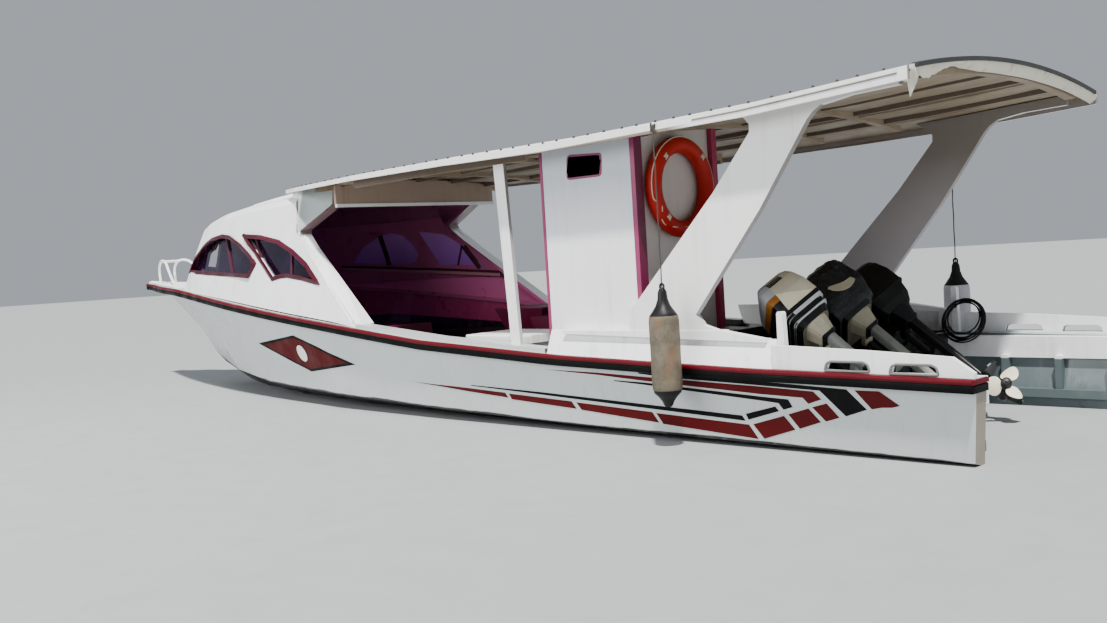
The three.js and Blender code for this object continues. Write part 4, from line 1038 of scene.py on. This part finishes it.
# ---------------------------------------------------------------- fenders
# Inflated vinyl fenders, stained and scuffed, with moulded black ends and an eye,
# hung by a thin rope knotted round the roof's edge board.
def stained(node, at, tone):
    """Blotches of brown and grey where the fender rubs and dries."""
    tone = coated(node, tone, fade(node, noise(node, at, 9, 7, 0.7), 0.42, 0.62), "544c3d")
    rust = fade(node, noise(node, at, 6.3, 4, 0.6, (1, 1, 0.35)), 0.56, 0.7, 0, 0.7)
    return coated(node, tone, rust, "75533a")


fender_vinyl = weathered("fender_vinyl", "6c6555", 0.62, dirt="4f4a3c", grime=0.75, mottle=0.7,
                         streaks=0.3, bump=0.8, extra=stained)
vinyl_pale = weathered("vinyl_pale", "c4c4ca", 0.6, dirt="5c584e", grime=0.4, mottle=0.4,
                       streaks=0.4, bump=0.6)
fender_black = weathered("fender_black", "070708", 0.5, dirt="2a2724", grime=0.3, shine=0.3)
FENDERS = [("port", Vector((-3.99, 1.4393, 0)), 2.1157, fender_vinyl),
           ("starboard", Vector((-4.64, -1.4393, 0)), 2.137, vinyl_pale)]
# Outlines are (radius, height).
BODY = [(0, .352), (.05, .356), (.083, .372), (.098, .4), (.1005, .45), (.099, .6), (.1005, .72),
        (.1, .84), (.096, .872), (.08, .893), (.05, .902), (0, .905)]
ENDS = [[(0, .276), (.02, .277), (.03, .29), (.04, .315), (.062, .345), (.09, .372), (.0925, .392),
         (.06, .4), (0, .4)],
        [(0, .86), (.06, .86), (.091, .862), (.093, .878), (.075, .903), (.05, .94), (.034, .985),
         (.03, 1.03), (.02, 1.052), (0, 1.053)]]


def turned(bm, points, centre, axis, steps):
    """A turned shape from the points of its outline about an axis."""
    corners = [bm.verts.new(point) for point in points]
    edges = [bm.edges.new(ends) for ends in zip(corners, corners[1:])]
    bmesh.ops.spin(bm, geom=corners + edges, cent=centre, axis=axis, angle=2 * math.pi,
                   steps=steps, use_merge=True)


rope_dark = weathered("rope_dark", "3b3733", 0.8, dirt="8a8170", grime=0.8, bump=0.2)
ROPE_FOOT = 1.03
for side, place, top, finish in FENDERS:
    parts = []
    for profiles in ([BODY], ENDS):
        bm = bmesh.new()
        for profile in profiles:
            outline = [place + Vector((radius, 0, z)) for radius, z in profile]
            turned(bm, outline, place, (0, 0, 1), 32)
        parts.append(bm)
    vinyl = new_piece(f"fender_body_{side}", parts[0], finish, slot="fender_vinyl", smooth=60)
    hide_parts(f"fender_{side}")
    new_piece(f"fender_ends_{side}", parts[1], fender_black, slot="black_cable", smooth=50)
    path = [place + Vector((0.0015 * math.sin(z * 30), 0, z)) for z in
            [top + (ROPE_FOOT - top) * i / 24 for i in range(25)]]
    rope = tube_along(f"fender_rope_{side}", path, 0.0045, rope_dark)
    knot = [place + Vector((0.018 * math.cos(i * 0.7), 0.001 * i / 20,
                            top - .045 + .0021 * i + 0.02 * math.sin(i * 1.05))) for i in range(20)]
    knot = tube_along(f"fender_knot_{side}", knot, 0.006, rope_dark)
    eye = [place + Vector((0.017 * math.cos(turn), 0, 1.066 + 0.02 * math.sin(turn)))
           for turn in [i * math.pi / 6 for i in range(12)]]
    tube_along(f"fender_eye_{side}", eye, 0.007, fender_black, cyclic=True)
    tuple(path[0])

# ---------------------------------------------------------------- cockpit and seats
# Plywood sole and side benches painted maroon, a flared maroon seat box, and a slatted
# white bench on two panels.
seat_maroon = weathered("seat_maroon", "5c1030", 0.45, dirt="24060f", grime=0.4, mottle=0.5,
                        streaks=0.2, shine=0.3)
sole_dark = weathered("sole_dark", "12060a", 0.6, dirt="2a1c18", grime=0.5, mottle=0.5, shine=0.3)
paint_node(["helm_seat"], seat_maroon)
paint_node(["cockpit_sole"] + pair("side_bench"), sole_dark)
paint_node(["white_bench", "bow_pulpit"], trim_white)
SLAT = 0.11
bm = bmesh.new()
for i in range(5):
    low, high = 0.564 + SLAT * i, 0.556 + SLAT * (i + 1)
    board([[Vector((x, y, z)) for y, z in (
        (low, .643), (high, .643), (high, .7), (high - .004, .704), (low + .004, .704), (low, .7))]
           for x in (-2.405, -1.645)], bm)
new_piece("bench_slats", bm, trim_white, slot="white_paint", smooth=30)
RIM = [(-2.32, -.37), (-1.73, -.37), (-1.73, .37), (-2.32, .37)]
RIM_MIDDLE, FLARE = -2.025, 1.12
low = [Vector((x, y, .6)) for x, y in RIM]
high = [Vector((RIM_MIDDLE + (x - RIM_MIDDLE) * FLARE, y * FLARE, .79)) for x, y in RIM]
bm = bmesh.new()
for i in range(4):
    bm.faces.new([bm.verts.new(p) for p in (low[i - 1], low[i], high[i], high[i - 1])])
bmesh.ops.remove_doubles(bm, verts=bm.verts, dist=1e-4)
bmesh.ops.recalc_face_normals(bm, faces=bm.faces)
bmesh.ops.solidify(bm, geom=bm.faces[:], thickness=0.014)
new_piece("seat_box_rim", bm, seat_maroon, slot="maroon_paint", smooth=30)

# A seat board with a worn, wavy edge stands on the port bench, and a flared locker box
# on the starboard one.
bm = board([[Vector((x, y, z)) for y, z in (
    (.5, .571), (.95, .571), (.93, .745 + .02 * math.sin(x * 11)),
    (.52, .745 + .015 * math.sin(x * 9)))] for x in [-.5 + .066 * i for i in range(9)]])
new_piece("port_seat", bm, seat_maroon, slot="maroon_paint", smooth=30)
bm = board([[Vector((-.65 + wide * a, -.68 + deep * b, z))
             for a, b in ((-1, -1), (1, -1), (1, 1), (-1, 1))]
            for z, wide, deep in ((.571, .24, .16), (.8, .33, .23), (.812, .33, .23))])
new_piece("locker_box", bm, seat_maroon, slot="maroon_paint", smooth=30)

# ---------------------------------------------------------------- stern arms
# Inside each arm a white fascia runs below the deck edge, over a grey-green ribbed
# skin. The arms' end faces, part of the hull, are left in a beige undercoat.
def fascia_white(node, at, tone):
    """The lining's upper strip is white."""
    height = node("SeparateXYZ", {"Vector": at})[2]
    return coated(node, tone, fade(node, height, 0.346, 0.35), "fafafc")


arm_paint = weathered("arm_paint", "515e61", 0.55, dirt="7d7c74", grime=0.3, mottle=0.3,
                      streaks=0.2, extra=fascia_white)
paint_node(pair("arm_lining"), arm_paint)

# ---------------------------------------------------------------- outboards
# Three engines tilted clear of the water and turned hard over. The port one has two
# silver lines on its black pan and a cream cover aft, with black flanks and an amber band
# under a pale grey top; the middle one is under crumpled black sheet.
engine_black = weathered("engine_black", "040405", 0.42, dirt="1c1a18", grime=0.35, mottle=0.4,
                         streaks=0.15, shine=0.3)
metal = weathered("bracket_metal", "121213", 0.45, dirt="0c0b0a", grime=0.6, mottle=0.5, shine=0.3)
TILT = math.radians(52)
STEER = math.radians(-45)
PIVOT = Vector((-4.6, 0, 0.41))
STEER_AXIS = Vector((-0.15, 0, 0))
PORT_ENGINE = 0.56
ENGINES = [("port", PORT_ENGINE), ("centre", 0.0), ("starboard", -PORT_ENGINE)]


def engine_place(y):
    """From an engine's own upright frame to where it stands tilted and turned."""
    return (Matrix.Translation(PIVOT + Vector((0, y, 0))) @ Matrix.Rotation(TILT, 4, "Y")
            @ Matrix.Translation(STEER_AXIS) @ Matrix.Rotation(STEER, 4, "Z")
            @ Matrix.Translation(-STEER_AXIS))


def in_engine(node, at, y):
    """A point's place in the engine's own upright frame: (fore and aft, across, up)."""
    for where, turn in ((PIVOT + Vector((0, y, 0)), (0, TILT, 0)), (STEER_AXIS, (0, 0, STEER))):
        at = node("Mapping", {"Vector": at, "Location": where, "Rotation": turn},
                  vector_type="TEXTURE")[0]
    at = node("VectorMath", {0: at, 1: STEER_AXIS}, operation="ADD")[0]
    return node("SeparateXYZ", {"Vector": at})


def leg_finish(side, y, cream, lower):
    """Black pan, pale midsection and a scuffed grey lower unit, by distance down the leg."""
    def bands(node, at, tone):
        height = in_engine(node, at, y)[2]
        tone = coated(node, tone, fade(node, height, 0.14, 0.137), cream)
        tone = coated(node, tone, fade(node, height, 0.021, 0.02), lower)
        ring = maths(node, "MULTIPLY", fade(node, height, -0.3, -0.302),
                     fade(node, height, -0.345, -0.343))
        tone = coated(node, tone, ring, "0a0a0b")
        return coated(node, tone, fade(node, height, -0.64, -0.643), "0c0c0e")
    return weathered(f"leg_{side}", "040405", 0.4, dirt="2c2a25", grime=0.5, mottle=0.5,
                     streaks=0.2, shine=0.3, extra=bands)


def cowl_zones(node, at, tone):
    """A cream cover aft with a paler facet as painted light, a black port flank, a rising amber
    band and a pale grey top.
    """
    fore, across, up = in_engine(node, at, PORT_ENGINE)
    slant = maths(node, "ADD", maths(node, "MULTIPLY", up, 0.192), maths(node, "ABSOLUTE", across))
    flank = maths(node, "MAXIMUM", fade(node, slant, 0.1545, 0.156),
                  fade(node, fore, -0.43, -0.429))
    # A paler cream on the cover's aft-port facet: painted light where it faces the light.
    facet = maths(node, "SUBTRACT", up, maths(node, "MULTIPLY", across, 0.788))
    tone = blend(node, fade(node, facet, 0.376, 0.38), linear("efe6c8"), tone)
    flank = maths(node, "MULTIPLY", flank, fade(node, across, -0.02, 0.0))
    tone = coated(node, tone, flank, "040405")
    rising = maths(node, "SUBTRACT", up, maths(node, "MULTIPLY", fore, 0.14))
    for low, high, code in ((0.447, 0.449, "9a5f1c"), (0.504, 0.506, "b4b7b8")):
        band = maths(node, "MULTIPLY", flank, fade(node, rising, low, high))
        tone = coated(node, tone, band, code)
    return tone


def casing(levels, y, bm=None):
    """A moulded casing through levels of (up, aft, fore, half-width, corner radius)."""
    rings = []
    for up, aft, fore, half, radius in levels:
        corners = rounded([(fore, half), (aft, half), (aft, -half), (fore, -half)], radius, 4)
        rings.append([engine_place(y) @ Vector((a, across, up)) for a, across in corners])
    return board(rings, bm)


PAN = [(.139, -.488, -.09, .112, .05), (.19, -.522, -.05, .142, .06),
       (.268, -.545, -.028, .158, .066)]
COWL = [(.2692, -.543, -.03, .1565, .066), (.285, -.5455, -.028, .158, .066),
        (.4, -.538, -.028, .158, .066), (.5, -.508, -.04, .146, .068), (.55, -.48, -.06, .13, .068),
        (.577, -.45, -.09, .108, .06), (.592, -.415, -.125, .082, .05)]
cowl_paint = weathered("cowl_paint", "cfc8b0", 0.34, dirt="6e6650", grime=0.3, mottle=0.35,
                       streaks=0.25, coat=0.2, extra=cowl_zones)
for side, y in ENGINES:
    finish, slot = (cowl_paint, "cowl_cream") if side == "port" else (engine_black, "cowl_black")
    shell = new_piece(f"cowl_shell_{side}", casing(COWL, y), finish, f"engine_{side}", slot, 35)
    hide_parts(f"cowl_{side}")
# Air intake bars across the top of the cream cover.
bm = bmesh.new()
for up, fore in ((.509, -.5035), (.524, -.494), (.539, -.485)):
    board([[engine_place(PORT_ENGINE) @ Vector((fore + a, across, up + d))
            for a, d in ((-.003, -.006), (.03, -.006), (.03, .006), (-.003, .005))]
           for across in (-.056, .056)], bm)
new_piece("cowl_vents", bm, engine_black, "engine_port", "cowl_black", 30)

# Silver lines stand on the port pan, aft and on its starboard side; a rubber seam and a
# collar close each pan and leg.
silver = weathered("silver_line", "c9ccce", 0.32, dirt="4d4a44", grime=0.55)
LIFT = .0014
bm = bmesh.new()
for low, high in ((.18, .19), (.226, .25)):
    levels = []
    for up in (low, high):
        aft, fore, half, radius = (between([(row[0], row[k]) for row in PAN], up)
                                   for k in range(1, 5))
        levels.append((up, aft - LIFT, fore + LIFT, half + LIFT, radius))
    casing(levels, PORT_ENGINE, bm)
upright = engine_place(PORT_ENGINE).inverted()
port_flank = [face for face in bm.faces if (upright @ face.calc_center_median()).y > 0.1]
bmesh.ops.delete(bm, geom=port_flank, context="FACES")
new_piece("pan_lines", bm, silver, "engine_port", "bracket_metal", 40)
SEAM = [(.262, -.5455, -.0255, .1585, .066), (.267, -.549, -.024, .162, .068),
        (.274, -.549, -.024, .162, .068), (.279, -.5465, -.0265, .1595, .066)]
COLLAR = [(.002, -.4565, -.3385, .036, .028), (.006, -.46, -.335, .0395, .03),
          (.016, -.463, -.33, .044, .032), (.021, -.464, -.298, .0545, .035),
          (.026, -.4645, -.297, .0555, .036)]
for side, y in ENGINES:
    for name, levels in (("cowl_seam", SEAM), ("leg_collar", COLLAR)):
        new_piece(f"{name}_{side}", casing(levels, y), engine_black, f"engine_{side}",
                  "cowl_black", 40)

# The middle cowl is wrapped in thin black sheet that sags over the pan; a sickle of its
# cream cover shows aft, between two folds.
cream_patch = weathered("cream_patch", "b3ab92", 0.4, dirt="4e4838", grime=0.4, mottle=0.4,
                        streaks=0.3)
bm = bmesh.new()
for vertex in bmesh.ops.create_grid(bm, x_segments=16, y_segments=4, size=1)["verts"]:
    u, v, _ = vertex.co
    across = -0.05 + 0.11 * u
    middle = 0.31 + 0.045 * (u + 0.2) ** 2
    up = middle + 0.03 * v * (1 - abs(u) ** 2.6) ** 0.6 * (1 + 0.35 * u)
    vertex.co = engine_place(0.0) @ Vector((-0.585 + 0.4 * max(abs(across) - 0.1, 0), across, up))
bmesh.ops.solidify(bm, geom=bm.faces[:], thickness=0.004)
new_piece("cream_sickle", bm, cream_patch, "engine_centre", "cowl_cream", 50)
sheet_black, surface, node, link = shader("sheet_black", 0.3)
at = node("TexCoord")[3]
# Dark bluish patches on the black sheet: painted highlights.
tone = coated(node, linear("010102"), fade(node, noise(node, at, 14, 5), 0.45, 0.75), "131a24")
link(tone, surface.inputs["Base Color"])
link(fade(node, noise(node, at, 23, 4), 0.3, 0.7, 0.2, 0.5), surface.inputs["Roughness"])
link(node("Bump", {"Height": noise(node, at, 30, 6, 0.7), "Strength": 0.9, "Distance": 0.012})[0],
     surface.inputs["Normal"])
WRAP = [(.17, -.528, -.045, .15, .062), (.2, -.548, -.03, .165, .07),
        (.25, -.565, -.015, .178, .075), (.3, -.573, -.008, .184, .08),
        (.36, -.57, -.004, .188, .08), (.42, -.566, -.002, .19, .085),
        (.49, -.556, -.005, .188, .09), (.55, -.528, -.025, .172, .09),
        (.595, -.475, -.06, .14, .085), (.622, -.4, -.12, .09, .065), (.632, -.33, -.19, .04, .035)]
bm = casing(WRAP, 0.0)
bmesh.ops.subdivide_edges(bm, edges=bm.edges[:], cuts=3, use_grid_fill=True)
wrap = new_piece("cowl_wrap", bm, sheet_black, "engine_centre", "cowl_black", 60)
for vertex in wrap.data.vertices:
    p = vertex.co * 21
    crease = (math.sin(p.x + 1.7 * math.sin(p.y * 0.8)) * math.sin(p.z * 1.3 + p.y)
              + 0.5 * math.sin(2.7 * p.x - 1.9 * p.z + p.y * 2.3))
    vertex.co += vertex.normal * (0.0075 * crease)

LEG_PAINTS = (("c5bda4", "8f918c"), ("b3ab95", "85877f"), ("0b0b0c", "101011"))
for (side, y), paints in zip(ENGINES, LEG_PAINTS):
    paint_node([f"clamp_bracket_{side}", f"swivel_bracket_{side}"], metal)
    paint_node([f"engine_leg_{side}"], leg_finish(side, y, *paints))

# Propellers: three broad round blades, cupped and pitched, on a black stepped hub.
SHAFT_UP = -0.8
PROPELLER_FORE = -0.5675
HUB = [(0, -.6115), (.018, -.611), (.03, -.606), (.033, -.59), (.036, -.585), (.037, -.545),
       (.034, -.527), (.026, -.5245), (0, -.5245)]
blade_cream = weathered("blade_cream", "efe9d2", 0.38, dirt="6b6451", grime=0.35, mottle=0.3)
hub_black = weathered("hub_black", "0a0909", 0.45, dirt="2a2724", grime=0.4, shine=0.3)
for side, y in ENGINES:
    place = engine_place(y)
    bm = bmesh.new()
    for count in range(3):
        blade = bmesh.ops.create_circle(bm, cap_ends=False, segments=28, radius=1)["verts"]
        edges = list({e for v in blade for e in v.link_edges})
        inner = [g for g in bmesh.ops.extrude_edge_only(bm, edges=edges)["geom"]
                 if isinstance(g, bmesh.types.BMVert)]
        bmesh.ops.scale(bm, vec=(.5, .5, 1), verts=inner)
        rim = [e for e in bm.edges if e.verts[0] in inner and e.verts[1] in inner]
        bmesh.ops.contextual_create(bm, geom=rim)
        spin = Matrix.Rotation(count * 2 * math.pi / 3 + 1.16, 4, "X")
        for vertex in blade + inner:
            out = 0.083 + 0.055 * vertex.co.y
            wide = 0.064 * vertex.co.x * (1 - 0.12 * vertex.co.y)
            pitch = 1.12 - 0.3 * (out - 0.03) / 0.108
            cup = 0.012 * (wide / 0.058) ** 2
            local = Vector((wide * math.cos(pitch) + cup, wide * math.sin(pitch), out))
            vertex.co = place @ (Vector((PROPELLER_FORE, 0, SHAFT_UP)) + spin @ local)
    bmesh.ops.recalc_face_normals(bm, faces=bm.faces)
    bmesh.ops.solidify(bm, geom=bm.faces[:], thickness=0.004)
    blades = new_piece(f"blades_{side}", bm, blade_cream, f"prop_{side}", "propeller_cream", 50)
    bm = bmesh.new()
    turned(bm, [(fore, 0, radius) for radius, fore in HUB], (0, 0, 0), (1, 0, 0), 24)
    bmesh.ops.transform(bm, verts=bm.verts, matrix=place @ Matrix.Translation((0, 0, SHAFT_UP)))
    new_piece(f"hub_{side}", bm, hub_black, f"prop_{side}", "propeller_cream", 35)
    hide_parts(f"propeller_{side}")

low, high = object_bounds()
{"cad": [list(p) for p in cad_box], "visual": [list(low), list(high)]}
